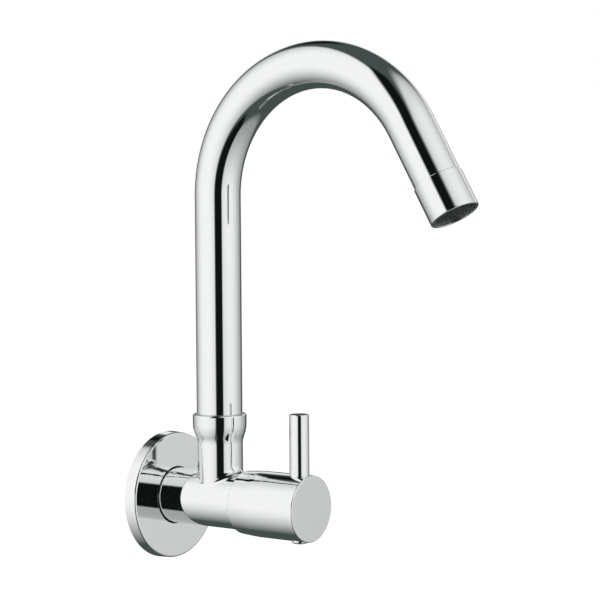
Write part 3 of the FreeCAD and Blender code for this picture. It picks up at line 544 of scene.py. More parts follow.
def hexagon_sides(shell, axis, flats, low_end, high_end, facing, sides=HEX_SIDES):
    """The six sides of a hexagon between two distances, which face out (1) or in (-1)."""
    turns = even_turns(sides)
    for here, there in zip(turns, turns[1:] + [TURN]):
        side = math.floor((here + there) / 2 / (TURN / 6) + 0.5)
        normal = axis.out(side * TURN / 6) * facing
        ring = [(low_end, here), (low_end, there), (high_end, there), (high_end, here)]
        shell.face([(axis.corner((hexagon_radius(flats, t), d, 0, 0), t)[0], normal)
                    for d, t in ring])


def hex_socket(shell, axis, radius, level, flats, depth):
    """A disc of this radius that faces up the axis, with a hexagon socket sunk in it."""
    floor = level - depth
    flat_hexagon(shell, axis, flats, radius, level, 1, LATHE_SIDES)
    flat_hexagon(shell, axis, flats, 0, floor, 1, LATHE_SIDES)
    hexagon_sides(shell, axis, flats, floor, level, -1, LATHE_SIDES)


def thread_radius(size, distance, turn, start, stop):
    """The radius of a screw thread at a place along it, chamfered at both ends."""
    phase = (distance - start) / size.pitch - turn / TURN
    slope = abs(2 * (phase % 1) - 1)
    share = min(1.0, max(0.0, (slope - size.flat) / (1 - 2 * size.flat)))
    depth = size.thread * (1 - share * share * (3 - 2 * share))
    root = size.radius - size.thread
    return min(size.radius - depth, root + min(distance - start, stop - distance))


def screw_thread(shell, axis, size, start, stop):
    """A screw thread, in rows that climb with it."""
    step = size.pitch / THREAD_ROWS
    rows = math.ceil((stop - start) / step) + THREAD_ROWS
    turns = even_turns(LATHE_SIDES) + [TURN]

    def corner(row, turn):
        climbed = start + (row - THREAD_ROWS) * step + turn / TURN * size.pitch
        distance = min(stop, max(start, climbed))
        here = thread_radius(size, distance, turn, start, stop)
        rise = thread_radius(size, distance + WELD, turn, start, stop)
        fall = thread_radius(size, distance - WELD, turn, start, stop)
        return axis.corner((here, distance, 2 * WELD, fall - rise), turn)

    for row in range(rows):
        shell.strip([corner(row, turn) for turn in turns],
                    [corner(row + 1, turn) for turn in turns], closed=False)


BODY_AXIS = Axis((0, 0, 0), (0, -1, 0), (1, 0, 0))
TOP = TURN / 4
BOTTOM = TURN * 3 / 4


# ---- nodes and finishes ----------------------------------------------------------------


MATH = "ShaderNodeMath"
VECTOR_MATH = "ShaderNodeVectorMath"
RANGE = "ShaderNodeMapRange"
NOISE = "ShaderNodeTexNoise"
BUMP = "ShaderNodeBump"

# A mix node's colour sockets by number, because its other kinds share their names.
MIX_FIRST = 6
MIX_SECOND = 7
MIX_RESULT = 2

WHITE = (1.0, 1.0, 1.0, 1.0)


def linear(code, shade=1.0):
    """The linear colour of an sRGB hex value times a shade, with full alpha."""
    values = [int(code[start:start + 2], 16) / 255 for start in (1, 3, 5)]
    plain = [v / 12.92 if v <= 0.04045 else ((v + 0.055) / 1.055) ** 2.4 for v in values]
    return [min(1.0, v * shade) for v in plain] + [1.0]


def add(tree, kind, *values, **settings):
    """Add a node with these properties. Its values go to its inputs in order, or by name where
    they are one dict. A value is a number, a socket, or a node whose first output is meant."""
    node = tree.nodes.new(kind)
    for name, value in settings.items():
        setattr(node, name, value)
    by_name = values[0] if values and isinstance(values[0], dict) else dict(enumerate(values))
    for name, value in by_name.items():
        if isinstance(value, bpy.types.Node):
            value = value.outputs[0]
        if isinstance(value, bpy.types.NodeSocket):
            tree.links.new(value, node.inputs[name])
        else:
            node.inputs[name].default_value = value
    return node


def cleared_tree(owner):
    """The node tree of a material or a world, with nothing in it."""
    owner.use_nodes = True
    owner.node_tree.nodes.clear()
    return owner.node_tree


def start_material(name):
    """A material, its tree and the Object coordinates that its patterns follow."""
    material = bpy.data.materials.new(name)
    tree = cleared_tree(material)
    return material, tree, add(tree, "ShaderNodeTexCoord").outputs["Object"]


def coat(tree, inputs):
    """End a material's tree in a Principled shader with these inputs."""
    shader = add(tree, "ShaderNodeBsdfPrincipled", inputs)
    add(tree, "ShaderNodeOutputMaterial", {"Surface": shader})


def chrome_plate(colours):
    # Bright chrome plate over buffed brass: a near mirror, cool grey-white, with a faint haze
    # from the buffing wheel and a waviness far too low to see except in long reflections.
    material, tree, place = start_material("chrome_plate")
    haze = add(tree, NOISE, {"Vector": place, "Scale": 1 / (14 * MM)})
    wave = add(tree, NOISE, {"Vector": place, "Scale": 1 / (22 * MM), "Detail": 1.0})
    coat(tree, {
        "Base Color": linear(colours.chrome),
        "Metallic": 1.0,
        "Roughness": add(tree, RANGE, {"Value": haze, "To Min": 0.025, "To Max": 0.055}),
        "Normal": add(tree, BUMP, {"Height": wave, "Strength": 0.05, "Distance": 0.05 * MM}),
    })
    return material


def turned_metal(name, colour, roughness, line):
    """A metal with the fine rings of a lathe tool, this far apart."""
    material, tree, place = start_material(name)
    stain = add(tree, NOISE, {"Vector": place, "Scale": 1 / (5 * MM)})
    shine = {"Value": stain, "To Min": roughness * 0.8, "To Max": roughness * 1.2}
    rings = add(tree, "ShaderNodeTexWave", {
        "Vector": place, "Scale": 1 / line / TURN, "Distortion": 0.4, "Detail": 1.0,
    }, wave_type="BANDS", bands_direction="Y").outputs["Fac"]
    coat(tree, {
        "Base Color": linear(colour),
        "Metallic": 1.0,
        "Roughness": add(tree, RANGE, shine),
        "Normal": add(tree, BUMP, {"Height": rings, "Strength": 0.25, "Distance": 0.02 * MM}),
    })
    return material


def machined_brass(colours):
    # Free-cutting brass as it leaves the lathe: warm yellow, half bright, with tool rings about
    # 0.35 mm apart, drawn coarser than the real 0.1 mm so that they show.
    return turned_metal("machined_brass", colours.brass, 0.28, 0.35 * MM)


def stainless_steel(colours):
    # Austenitic stainless wire and strip: neutral grey, softer shine than the plate.
    return turned_metal("stainless_steel", colours.stainless, 0.24, 0.25 * MM)


def grained(name, colour, roughness, grain, depth):
    """A non-metal with a fine grain of this size and depth, and a slightly uneven colour."""
    material, tree, place = start_material(name)
    cloud = add(tree, NOISE, {"Vector": place, "Scale": 1 / (9 * MM)})
    tint = add(tree, "ShaderNodeMix", {
        "Factor": cloud, MIX_FIRST: linear(colour, 0.94), MIX_SECOND: linear(colour, 1.06),
    }, data_type="RGBA")
    fine = add(tree, NOISE, {"Vector": place, "Scale": 1 / grain, "Detail": 3.0})
    shine = {"Value": fine, "To Min": roughness * 0.85, "To Max": roughness * 1.15}
    coat(tree, {
        "Base Color": tint.outputs[MIX_RESULT],
        "Roughness": add(tree, RANGE, shine),
        "Normal": add(tree, BUMP, {"Height": fine, "Strength": 0.3, "Distance": depth}),
    })
    return material


def black_rubber(colours):
    # Moulded EPDM: near black, dull, with the fine matt skin of the mould.
    return grained("epdm_rubber", colours.rubber, 0.62, 0.3 * MM, 0.02 * MM)


def alumina(colours):
    # Sintered and lapped alumina: ivory white, satin, very fine grain.
    return grained("alumina_ceramic", colours.ceramic, 0.3, 0.2 * MM, 0.005 * MM)


def white_acetal(colours):
    # Natural acetal, turned and moulded: milky white, waxy shine.
    return grained("white_acetal", colours.white_acetal, 0.4, 0.5 * MM, 0.01 * MM)


def grey_acetal(colours):
    # Injection moulded dark acetal: charcoal, satin, faint mould texture.
    return grained("grey_acetal", colours.grey_acetal, 0.42, 0.4 * MM, 0.012 * MM)


MAKE_FINISH = {
    "chrome": chrome_plate,
    "brass": machined_brass,
    "stainless": stainless_steel,
    "rubber": black_rubber,
    "ceramic": alumina,
    "white_acetal": white_acetal,
    "grey_acetal": grey_acetal,
}
SLOTS = {part["node"]: part["material_slot"] for part in frame["record"]["subparts"]}
BODIES = frame["record"]["behaviour"]["bodies"]
finishes = {}


def finish_of(node):
    """The material of a CAD node's slot, made when it is first asked for."""
    slot = SLOTS[node]
    if slot not in finishes:
        finishes[slot] = MAKE_FINISH[slot](bpy.context.scene.faucet_colours)
    return finishes[slot]


def stand_in(piece, node):
    """Put a piece in a CAD node's place and on its body, and hide the node."""
    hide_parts(node)
    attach(piece, next(body for body, nodes in BODIES.items() if node in nodes))


def dress(node, name, shell):
    """Finish a shell as the piece of this name that stands in for a CAD node."""
    stand_in(shell.finish(name, finish_of(node)), node)


# ---- pieces ----------------------------------------------------------------------------


class FAUCET_OT_finishes(Operator):
    """Give every CAD piece the finish of its material slot"""

    bl_idname = "faucet.finishes"
    bl_label = "Finishes"

    def execute(self, context):
        for node in SLOTS:
            data = frame["nodes"][node].data
            data.materials.clear()
            data.materials.append(finish_of(node))
        return {"FINISHED"}


class FAUCET_OT_flange(Operator):
    """Build the pressed dish that covers the hole in the wall"""

    bl_idname = "faucet.flange"
    bl_label = "Wall flange"

    def execute(self, context):
        size = context.scene.faucet_flange
        hole = context.scene.faucet_body.radius + size.gap
        mouth = context.scene.faucet_body.radius + size.lip_gap
        face = size.radius - size.draft
        sheet = size.depth - size.wall
        collar = size.depth - size.collar
        shell = Shell()
        shell.lathe(BODY_AXIS, outline([
            (size.radius, 0, FINE_EDGE),
            (face, size.depth, size.edge),
            (mouth, size.depth, size.lip),
            (mouth, size.depth - size.lip_depth),
            (hole, size.depth - size.lip_depth),
            (hole, collar, size.lip / 2),
            (hole + size.wall, collar, size.lip / 2),
            (hole + size.wall, sheet, size.wall / 2),
            (face - size.wall, sheet, size.edge / 2),
            (size.radius - size.wall, 0, FINE_EDGE),
        ], closed=True), even_turns(FLANGE_SIDES))
        dress("wall_flange", "flange_dish", shell)
        return {"FINISHED"}


class FAUCET_OT_connector(Operator):
    """Cut the inlet connector: thread for the wall, hexagonal collar, inner hexagon, bore"""

    bl_idname = "faucet.connector"
    bl_label = "Inlet connector"

    def execute(self, context):
        size = context.scene.faucet_connector
        back = context.scene.faucet_body.back
        shell = Shell()
        root = size.radius - size.thread
        start = -size.reach
        seat = back - size.collar
        end = back + size.engage
        screw_thread(shell, BODY_AXIS, size, start, seat)
        screw_thread(shell, BODY_AXIS, size, back, end)
        self.end_face(shell, size, start, root)
        shell.lathe(BODY_AXIS, outline([
            (root, end), (size.bore, end), (size.bore, start + size.key_depth)]))
        flat_hexagon(shell, BODY_AXIS, size.flats, root, seat, -1)
        flat_hexagon(shell, BODY_AXIS, size.flats, root, back, 1)
        hexagon_sides(shell, BODY_AXIS, size.flats, seat, back, 1)
        dress("inlet_nipple", "inlet_connector", shell)
        return {"FINISHED"}

    def end_face(self, shell, size, start, root):
        """The wall end: a ring round the inner hexagon, its sides and its floor."""
        floor = start + size.key_depth
        rim = root - size.thread / 2
        shell.bridge(BODY_AXIS, (root, start, 0, -1), even_turns(LATHE_SIDES),
                     (rim, start, 0, -1), even_turns(HEX_SIDES))
        flat_hexagon(shell, BODY_AXIS, size.key, rim, start, -1)
        flat_hexagon(shell, BODY_AXIS, size.key, size.bore, floor, -1)
        hexagon_sides(shell, BODY_AXIS, size.key, start, floor, -1)


class FAUCET_OT_body(Operator):
    """Build the cast body: barrel, neck with its collar, bores and lock screw's hole"""

    bl_idname = "faucet.body"
    bl_label = "Valve body"

    def execute(self, context):
        size = context.scene.faucet_body
        shell = Shell()
        half = size.neck_radius + size.neck_root + 2 * FINE_EDGE
        turns = barrel_turns([TOP], NECK_REACH)
        outside = Barrel(shell, BODY_AXIS, size.radius, 1, RISER, half, NECK_REACH, [TOP])
        outside.belt()
        own, heights = outside.port(TOP, size.neck_radius, size.neck_root, 1, hollow=True)
        inner_half = size.waterway + 2 * FINE_EDGE
        inside = Barrel(shell, BODY_AXIS, size.chamber, -1, RISER, inner_half, NECK_REACH, [TOP])
        inside.belt()
        _, floor_heights = inside.port(TOP, size.waterway, FINE_EDGE, 1)
        self.barrel_ends(shell, size, turns, half, inner_half)
        self.neck(shell, size, own, heights, floor_heights)
        dress("valve_body", "tap_body", shell)
        return {"FINISHED"}

    def barrel_ends(self, shell, size, turns, half, inner_half):
        shoulder = size.front - size.spigot
        spigot = size.radius - size.spigot_step
        mouth = size.front - size.mouth_depth
        shell.lathe(BODY_AXIS, outline([
            (size.radius, RISER + half),
            (size.radius, shoulder, size.break_edge),
            (spigot, shoulder),
            (spigot, size.front, size.break_edge),
            (size.mouth, size.front, size.break_edge / 2),
            (size.mouth, mouth),
            (size.head_bore, mouth),
            (size.head_bore, size.chamber_end),
            (size.chamber, size.chamber_end),
            (size.chamber, RISER + inner_half),
        ]), turns)
        shell.lathe(BODY_AXIS, outline([
            (size.chamber, RISER - inner_half),
            (size.chamber, size.seat),
            (size.passage, size.seat),
            (size.passage, size.inlet_end),
            (size.inlet, size.inlet_end),
            (size.inlet, size.back, size.break_edge),
            (size.radius, size.back, size.break_edge),
            (size.radius, RISER - half),
        ]), turns)

    def neck(self, shell, size, own, heights, floor_heights):
        """The neck and its collar outside, its bores inside, and the lock screw's hole."""
        wall_side = math.pi
        edge = size.break_edge / 2
        half = size.lock_radius + edge + FIT
        low_end = size.lock_height - half
        high_end = size.lock_height + half
        turns = barrel_turns([wall_side], LOCK_REACH)
        even = even_turns(PORT_SIDES)
        outside, inside = (
            Barrel(shell, own, radius, facing, size.lock_height, half, LOCK_REACH, [wall_side])
            for radius, facing in ((size.neck_radius, 1), (size.neck_bore, -1)))
        outside.belt()
        inside.belt()
        hole, heights_out = outside.port(wall_side, size.lock_radius, edge, -1)
        heights_in = inside.port(wall_side, size.lock_radius, edge, 1)[1]
        level = (size.neck_radius + size.neck_bore) / 2
        port_wall(shell, hole, size.lock_radius, heights_out, level, -1)
        port_wall(shell, hole, size.lock_radius, heights_in, level, -1)
        shell.lathe(own, outline([
            (size.neck_radius, high_end),
            (size.neck_radius, size.waist, size.waist_round),
            (size.collar_radius, size.collar_start, size.collar_round),
            (size.collar_radius, size.top, size.collar_edge),
            (size.collar_bore, size.top, size.break_edge),
            (size.collar_bore, size.collar_start),
            (size.neck_bore, size.collar_start),
            (size.neck_bore, high_end),
        ]), turns)
        shell.lathe(own, outline([
            (size.neck_bore, low_end), (size.neck_bore, size.neck_floor)]), turns)
        below = low_end - size.break_edge
        shell.bridge(own, (size.neck_radius, low_end, 1, 0), turns,
                     (size.neck_radius, below, 1, 0), even)
        port_wall(shell, own, size.neck_radius, heights, below, 1)
        shell.bridge(own, (size.neck_bore, size.neck_floor, 0, 1), turns,
                     (size.waterway, size.neck_floor, 0, 1), even)
        port_wall(shell, own, size.waterway, floor_heights, size.neck_floor, -1)


class FAUCET_OT_handle(Operator):
    """Build the knob with its two holes, the lever pin and the screw that holds it"""

    bl_idname = "faucet.handle"
    bl_label = "Handle"

    def execute(self, context):
        size = context.scene.faucet_handle
        dress("handle_knob", "handle_turning_knob", self.knob(size))
        dress("lever_pin", "handle_lever", self.lever(size))
        dress("lever_screw", "lever_screw_nub", self.screw(size))
        return {"FINISHED"}

    def knob(self, size):
        shell = Shell()
        ports = [TOP, BOTTOM]
        turns = barrel_turns(ports, LEVER_REACH)
        half = size.window
        inner_half = size.floor - LEVER_STATION
        outside, inside = (
            Barrel(shell, BODY_AXIS, radius, facing, LEVER_STATION, width, LEVER_REACH, ports)
            for radius, facing, width in ((size.radius, 1, half), (size.bore, -1, inner_half)))
        outside.belt()
        inside.belt()
        lever_hole = size.lever_radius + size.fit
        own, heights = outside.port(TOP, lever_hole, size.hole_edge, -1)
        _, inner_heights = inside.port(TOP, lever_hole, size.fit, 1)
        level = (min(heights) + max(inner_heights)) / 2
        port_wall(shell, own, lever_hole, heights, level, -1)
        port_wall(shell, own, lever_hole, inner_heights, level, -1)
        nub_hole = size.nub_radius + size.fit
        shank_hole = size.screw_radius + 2 * size.fit
        own, heights = outside.port(BOTTOM, nub_hole, size.hole_edge, -1)
        _, inner_heights = inside.port(BOTTOM, shank_hole, size.fit, 1)
        seat = -size.nub_foot - size.nub_height
        port_wall(shell, own, nub_hole, heights, seat, -1)
        shell.lathe(own, outline([(shank_hole, seat), (nub_hole, seat)]), even_turns(PORT_SIDES))
        port_wall(shell, own, shank_hole, inner_heights, seat, -1)
        shell.lathe(BODY_AXIS, outline([
            (size.radius, LEVER_STATION + half),
            (size.radius, size.face, size.face_edge),
            (0, size.face),
        ]), turns)
        shell.lathe(BODY_AXIS, outline([(0, size.floor), (size.bore, size.floor)]), turns)
        shell.lathe(BODY_AXIS, outline([
            (size.bore, LEVER_STATION - inner_half),
            (size.bore, size.cavity_end),
            (size.cavity, size.cavity_end),
            (size.cavity, size.back),
            (size.back_radius, size.back, size.skirt_round),
            (size.radius, size.back + size.taper, size.taper_round),
            (size.radius, LEVER_STATION - half),
        ]), turns)
        return shell

    def lever(self, size):
        shell = Shell()
        axis = Axis((0, -LEVER_STATION, 0), (0, 0, 1), (1, 0, 0))
        shell.lathe(axis, outline([
            (0, size.lever_top),
            (0, size.lever_foot + size.tap_depth),
            (size.screw_radius, size.lever_foot + size.tap_depth),
            (size.screw_radius, size.lever_foot),
            (size.spigot, size.lever_foot, FINE_EDGE),
            (size.spigot, size.lever_seat),
            (size.lever_radius, size.lever_seat, FINE_EDGE / 2),
            (size.lever_radius, size.lever_top, size.lever_edge),
        ], closed=True))
        return shell

    def screw(self, size):
        shell = Shell()
        axis = Axis((0, -LEVER_STATION, 0), (0, 0, -1), (1, 0, 0))
        foot = -size.nub_foot
        seat = foot - size.nub_height
        rim = size.nub_radius - size.nub_round
        shell.lathe(axis, outline([
            (0, -size.screw_tip),
            (size.screw_radius, -size.screw_tip, FINE_EDGE * 1.5),
            (size.screw_radius, seat),
            (size.nub_radius, seat, FINE_EDGE),
            (size.nub_radius, foot, size.nub_round),
            (rim, foot),
        ]))
        hex_socket(shell, axis, rim, foot, size.key, size.nub_height / 2)
        return shell


def start_group(name, lengths, counts):
    """A geometry tree with these named inputs, and the sockets that give them."""
    tree = bpy.data.node_groups.new(name, "GeometryNodeTree")
    tree.interface.new_socket("Geometry", in_out="OUTPUT", socket_type="NodeSocketGeometry")
    for labels, kind in ((lengths, "NodeSocketFloat"), (counts, "NodeSocketInt")):
        for label in labels:
            tree.interface.new_socket(label, in_out="INPUT", socket_type=kind)
    return tree, add(tree, "NodeGroupInput").outputs


def end_group(tree, geometry, material):
    """End a geometry tree in real geometry of one material."""
    real = add(tree, "GeometryNodeRealizeInstances", {"Geometry": geometry})
    welded = add(tree, "GeometryNodeMergeByDistance", {"Geometry": real, "Distance": WELD * 10})
    coated = add(tree, "GeometryNodeSetMaterial", {"Geometry": welded, "Material": material})
    add(tree, "NodeGroupOutput", {"Geometry": coated})


def spout_route(tree, given):
    """The tube's middle line: up the riser, over the bend and down the straight run."""
    bend = given["Bend Radius"]
    upright = add(tree, MATH, given["Bend Start"], given["Foot"], operation="SUBTRACT")
    arc = add(tree, MATH, bend, given["Bend Angle"], operation="MULTIPLY")
    total = add(tree, MATH, upright, arc, operation="ADD")
    total = add(tree, MATH, total, given["Run"], operation="ADD")
    line = add(tree, "GeometryNodeCurvePrimitiveLine",
               {"End": add(tree, "ShaderNodeCombineXYZ", {"Z": total})})
    path = add(tree, "GeometryNodeResampleCurve", {"Curve": line, "Count": given["Rings"]})

    # At each place on the line: how far up the riser it is, how far it has turned over, and how
    # far past the bend it is.
    gone = add(tree, "GeometryNodeSplineParameter").outputs["Length"]
    risen = add(tree, MATH, gone, upright, operation="MINIMUM")
    past = add(tree, MATH, gone, upright, operation="SUBTRACT")
    turned = add(tree, MATH, past, bend, operation="DIVIDE")
    turned = add(tree, MATH, turned, 0.0, operation="MAXIMUM")
    turned = add(tree, MATH, turned, given["Bend Angle"], operation="MINIMUM")
    beyond = add(tree, MATH, past, arc, operation="SUBTRACT")
    beyond = add(tree, MATH, beyond, 0.0, operation="MAXIMUM")

    sine = add(tree, MATH, turned, operation="SINE")
    cosine = add(tree, MATH, turned, operation="COSINE")
    swing = add(tree, MATH, bend, cosine, operation="MULTIPLY")
    out = add(tree, MATH, bend, swing, operation="SUBTRACT")
    out = add(tree, MATH, beyond, sine, out, operation="MULTIPLY_ADD")
    out = add(tree, MATH, given["Riser"], out, operation="ADD")
    forward = add(tree, MATH, out, -1.0, operation="MULTIPLY")
    climb = add(tree, MATH, bend, sine, operation="MULTIPLY")
    climb = add(tree, MATH, beyond, cosine, climb, operation="MULTIPLY_ADD")
    height = add(tree, MATH, given["Foot"], risen, operation="ADD")
    height = add(tree, MATH, height, climb, operation="ADD")
    place = add(tree, "ShaderNodeCombineXYZ", {"Y": forward, "Z": height})
    return add(tree, "GeometryNodeSetPosition", {"Geometry": path, "Position": place})


def spout_tree(material):
    """Geometry nodes for the gooseneck: a tube of even wall, swept along its route."""
    tree, given = start_group("gooseneck", (
        "Tube Radius", "Wall", "Foot", "Riser", "Bend Start", "Bend Radius", "Bend Angle", "Run",
    ), ("Sides", "Rings"))
    circle = add(tree, "GeometryNodeCurvePrimitiveCircle",
                 {"Resolution": given["Sides"], "Radius": given["Tube Radius"]})
    skin = add(tree, "GeometryNodeCurveToMesh",
               {"Curve": spout_route(tree, given), "Profile Curve": circle})
    depth = add(tree, MATH, given["Wall"], -1.0, operation="MULTIPLY")
    inward = add(tree, VECTOR_MATH, {0: add(tree, "GeometryNodeInputNormal"), "Scale": depth},
                 operation="SCALE")
    lining = add(tree, "GeometryNodeExtrudeMesh",
                 {"Mesh": skin, "Offset": inward, "Individual": False})
    lining = add(tree, "GeometryNodeFlipFaces", {"Mesh": lining})
    both = add(tree, "GeometryNodeJoinGeometry")
    for part in (skin, lining):
        tree.links.new(part.outputs[0], both.inputs[0])
    end_group(tree, both, material)
    return tree


def grow(name, tree, values):
    """Run a geometry tree on an empty mesh with these inputs and keep the plain result."""
    maker = link(name + "_nodes", bpy.data.meshes.new(name + "_nodes"))
    modifier = maker.modifiers.new("grow", "NODES")
    modifier.node_group = tree
    for socket in tree.interface.items_tree:
        if socket.in_out == "INPUT" and socket.name in values:
            modifier[socket.identifier] = values[socket.name]
    evaluated = maker.evaluated_get(bpy.context.evaluated_depsgraph_get())
    mesh = bpy.data.meshes.new_from_object(evaluated)
    maker.modifiers.remove(modifier)
    bpy.data.objects.remove(maker)
    mesh.name = name
    mesh.shade_smooth()
    mesh.set_sharp_from_angle(angle=SOFT_SHADING)
    return link(name, mesh)


class FAUCET_OT_spout(Operator):
    """Sweep the gooseneck tube along its riser, bend and straight run"""

    bl_idname = "faucet.spout"
    bl_label = "Spout tube"

    def execute(self, context):
        size = context.scene.faucet_spout
        piece = grow("gooseneck_tube", spout_tree(finish_of("spout_tube")), {
            "Tube Radius": size.radius,
            "Wall": size.wall,
            "Foot": size.foot,
            "Riser": RISER,
            "Bend Start": TUBE_TOP - size.radius - size.bend_radius,
            "Bend Radius": size.bend_radius,
            "Bend Angle": size.bend_angle,
            "Run": size.run,
            "Sides": size.sides,
            "Rings": size.rings,
        })
        stand_in(piece, "spout_tube")
        return {"FINISHED"}


def outlet_axis(context):
    """The outlet's axis, up the stream from the centre of its face."""
    spout = context.scene.faucet_spout
    run = spout.run + context.scene.faucet_outlet.length
    bend = spout.bend_angle
    forward = spout.bend_radius * (1 - math.cos(bend)) + run * math.sin(bend)
    start = TUBE_TOP - spout.radius - spout.bend_radius
    height = start + spout.bend_radius * math.sin(bend) + run * math.cos(bend)
    return Axis((0, -RISER - forward, height), (0, math.sin(bend), -math.cos(bend)), (1, 0, 0))


def comb_cell(tree, given):
    """One open hexagonal cell, from its face down through the plate."""
    corner = add(tree, MATH, given["Pitch"], math.sqrt(3), operation="DIVIDE")
    hexagon = add(tree, "GeometryNodeMeshCircle", {"Vertices": 6, "Radius": corner},
                  fill_type="NGON")
    upright = add(tree, "GeometryNodeTransform", {"Geometry": hexagon,
                                                  "Rotation": (0, 0, TURN / 12)})
    inset = add(tree, "GeometryNodeExtrudeMesh", {"Mesh": upright, "Offset Scale": 0.0})
    top = inset.outputs["Top"]
    opening = add(tree, MATH, given["Pitch"], given["Web"], operation="SUBTRACT")
    opening = add(tree, MATH, opening, given["Pitch"], operation="DIVIDE")
    smaller = add(tree, "GeometryNodeScaleElements", {
        "Geometry": inset, "Selection": top, "Scale": opening})
    drop = add(tree, MATH, given["Plate"], -1.0, operation="MULTIPLY")
    deep = add(tree, "GeometryNodeExtrudeMesh", {
        "Mesh": smaller, "Selection": top, "Offset": add(tree, "ShaderNodeCombineXYZ", {"Z": drop})})
    return add(tree, "GeometryNodeDeleteGeometry", {
        "Geometry": deep, "Selection": deep.outputs["Top"]}, domain="FACE")


def honeycomb_tree(material):
    """Geometry nodes for the honeycomb: hexagonal cells set out in a round field."""
    tree, given = start_group("honeycomb", ("Pitch", "Web", "Plate", "Reach", "Lift"), ("Cells",))
    cells = given["Cells"]
    field = add(tree, "GeometryNodeMeshGrid", {"Vertices X": cells, "Vertices Y": cells})
    index = add(tree, "GeometryNodeInputIndex")
    row = add(tree, MATH, index, cells, operation="DIVIDE")
    row = add(tree, MATH, row, operation="FLOOR")
    column = add(tree, MATH, index, cells, operation="MODULO")
    middle = add(tree, MATH, cells, 2.0, operation="DIVIDE")
    middle = add(tree, MATH, middle, operation="FLOOR")

    # Every second row is shifted by half a pitch, and rows lie closer than cells in a row.
    odd = add(tree, MATH, row, 2.0, operation="MODULO")
    across = add(tree, MATH, column, middle, operation="SUBTRACT")
    across = add(tree, MATH, odd, 0.5, across, operation="MULTIPLY_ADD")
    across = add(tree, MATH, across, given["Pitch"], operation="MULTIPLY")
    row_pitch = add(tree, MATH, given["Pitch"], math.sqrt(3) / 2, operation="MULTIPLY")
    along = add(tree, MATH, row, middle, operation="SUBTRACT")
    along = add(tree, MATH, along, row_pitch, operation="MULTIPLY")
    flat_place = add(tree, "ShaderNodeCombineXYZ", across, along)
    away = add(tree, VECTOR_MATH, flat_place, operation="LENGTH").outputs["Value"]
    near = add(tree, "FunctionNodeCompare", away, given["Reach"], operation="LESS_THAN")

    place = add(tree, "ShaderNodeCombineXYZ", across, along, given["Lift"])
    spots = add(tree, "GeometryNodeSetPosition", {"Geometry": field, "Position": place})
    comb = add(tree, "GeometryNodeInstanceOnPoints", {
        "Points": spots, "Selection": near, "Instance": comb_cell(tree, given)})
    end_group(tree, comb, material)
    return tree


class FAUCET_OT_outlet(Operator):
    """Build the end sleeve with its inward lip, and the honeycomb's cup inside it"""

    bl_idname = "faucet.outlet"
    bl_label = "Outlet"

    def execute(self, context):
        size = context.scene.faucet_outlet
        bore = size.radius - size.wall
        mouth = bore - size.lip_depth
        shell = Shell()
        shell.lathe(outlet_axis(context), outline([
            (mouth, 0, size.edge / 2),
            (size.radius, 0, size.edge),
            (size.radius, size.length, size.edge / 2),
            (bore, size.length),
            (bore, size.lip),
            (mouth, size.lip, size.edge / 4),
        ], closed=True))
        dress("aerator_sleeve", "outlet_sleeve", shell)
        self.honeycomb(context, size, bore, mouth)
        return {"FINISHED"}

    def honeycomb(self, context, size, bore, mouth):
        """The cup by turning, its cells by geometry nodes, as one piece."""
        axis = outlet_axis(context)
        plastic = finish_of("aerator_grid")
        reach = mouth - size.grid_margin * size.grid_pitch
        cells = grow("outlet_cells", honeycomb_tree(plastic), {
            "Pitch": size.grid_pitch,
            "Web": size.grid_web,
            "Plate": size.grid_plate,
            "Reach": reach,
            "Lift": -size.lip,
            "Cells": size.grid_count,
        })
        cup = Shell()
        inner = reach + size.grid_overlap * size.grid_pitch
        outer = bore - FIT
        face = size.lip + FIT
        back = size.lip + size.grid_height
        plate_back = size.lip + size.grid_plate
        cup.lathe(Axis((0, 0, 0), (0, 0, -1), (1, 0, 0)), outline([
            (inner, face),
            (outer, face, FINE_EDGE / 2),
            (outer, back, FINE_EDGE / 2),
            (mouth, back),
            (mouth, plate_back),
            (inner, plate_back),
        ], closed=True))
        cup = cup.finish("outlet_cup", plastic)
        shape = bmesh.new()
        for part in (cells, cup):
            shape.from_mesh(part.data)
            bpy.data.objects.remove(part)
        turn = Matrix((axis.side, axis.along.cross(axis.side), -axis.along)).transposed()
        bmesh.ops.transform(shape, matrix=Matrix.Translation(axis.start) @ turn.to_4x4(),
                            verts=shape.verts)
        mesh = bpy.data.meshes.new("outlet_honeycomb")
        shape.to_mesh(mesh)
        shape.free()
        mesh.materials.append(plastic)
        mesh.shade_smooth()
        mesh.set_sharp_from_angle(angle=SOFT_SHADING)
        stand_in(link("outlet_honeycomb", mesh), "aerator_grid")


# ---- stage -----------------------------------------------------------------------------


# The chrome mirrors a studio of dark grey-green walls with two wide round openings, through which
# the white background shows. An opening is (azimuth, elevation, reach, softness) in degrees as
# seen from the object, and its light is (azimuth, elevation, full reach, faint reach, full share,
# faint share). Azimuth runs from +X to +Y. Cards are (low azimuth, high azimuth, low elevation,
# high elevation, softness): one glow low behind the object, and black ones.
OPENINGS = [
    ((134, 0, 68, 7), (154, 20, 22, 125, 1.0, -0.2)),
    ((288, 2, 72, 12), (276, 19, 14, 92, 0.95, 0.26)),
]
BACK_GLOW = (-12, 54, 12, 28, 6)
BACK_GLOW_SHARE = 0.8
BLACK_CARDS = [
    (205, 239, -60, 33, 6),
    (176, 213, 5, 70, 10),
    (38, 61, 36, 53, 8),
]

# How bright a black card is against the walls, and the azimuth in radians where the count for
# cards starts, so that no card lies across the start.
BLACK_SHADE = 0.09
FIRST_AZIMUTH = -0.4

# The place that the lamp points at.
LAMP_AIM = (0, -0.08, 0.08)


def direction(azimuth, elevation):
    """The unit vector that points this way, both in degrees."""
    across = math.cos(math.radians(elevation))
    return Vector((across * math.cos(math.radians(azimuth)),
                   across * math.sin(math.radians(azimuth)),
                   math.sin(math.radians(elevation))))


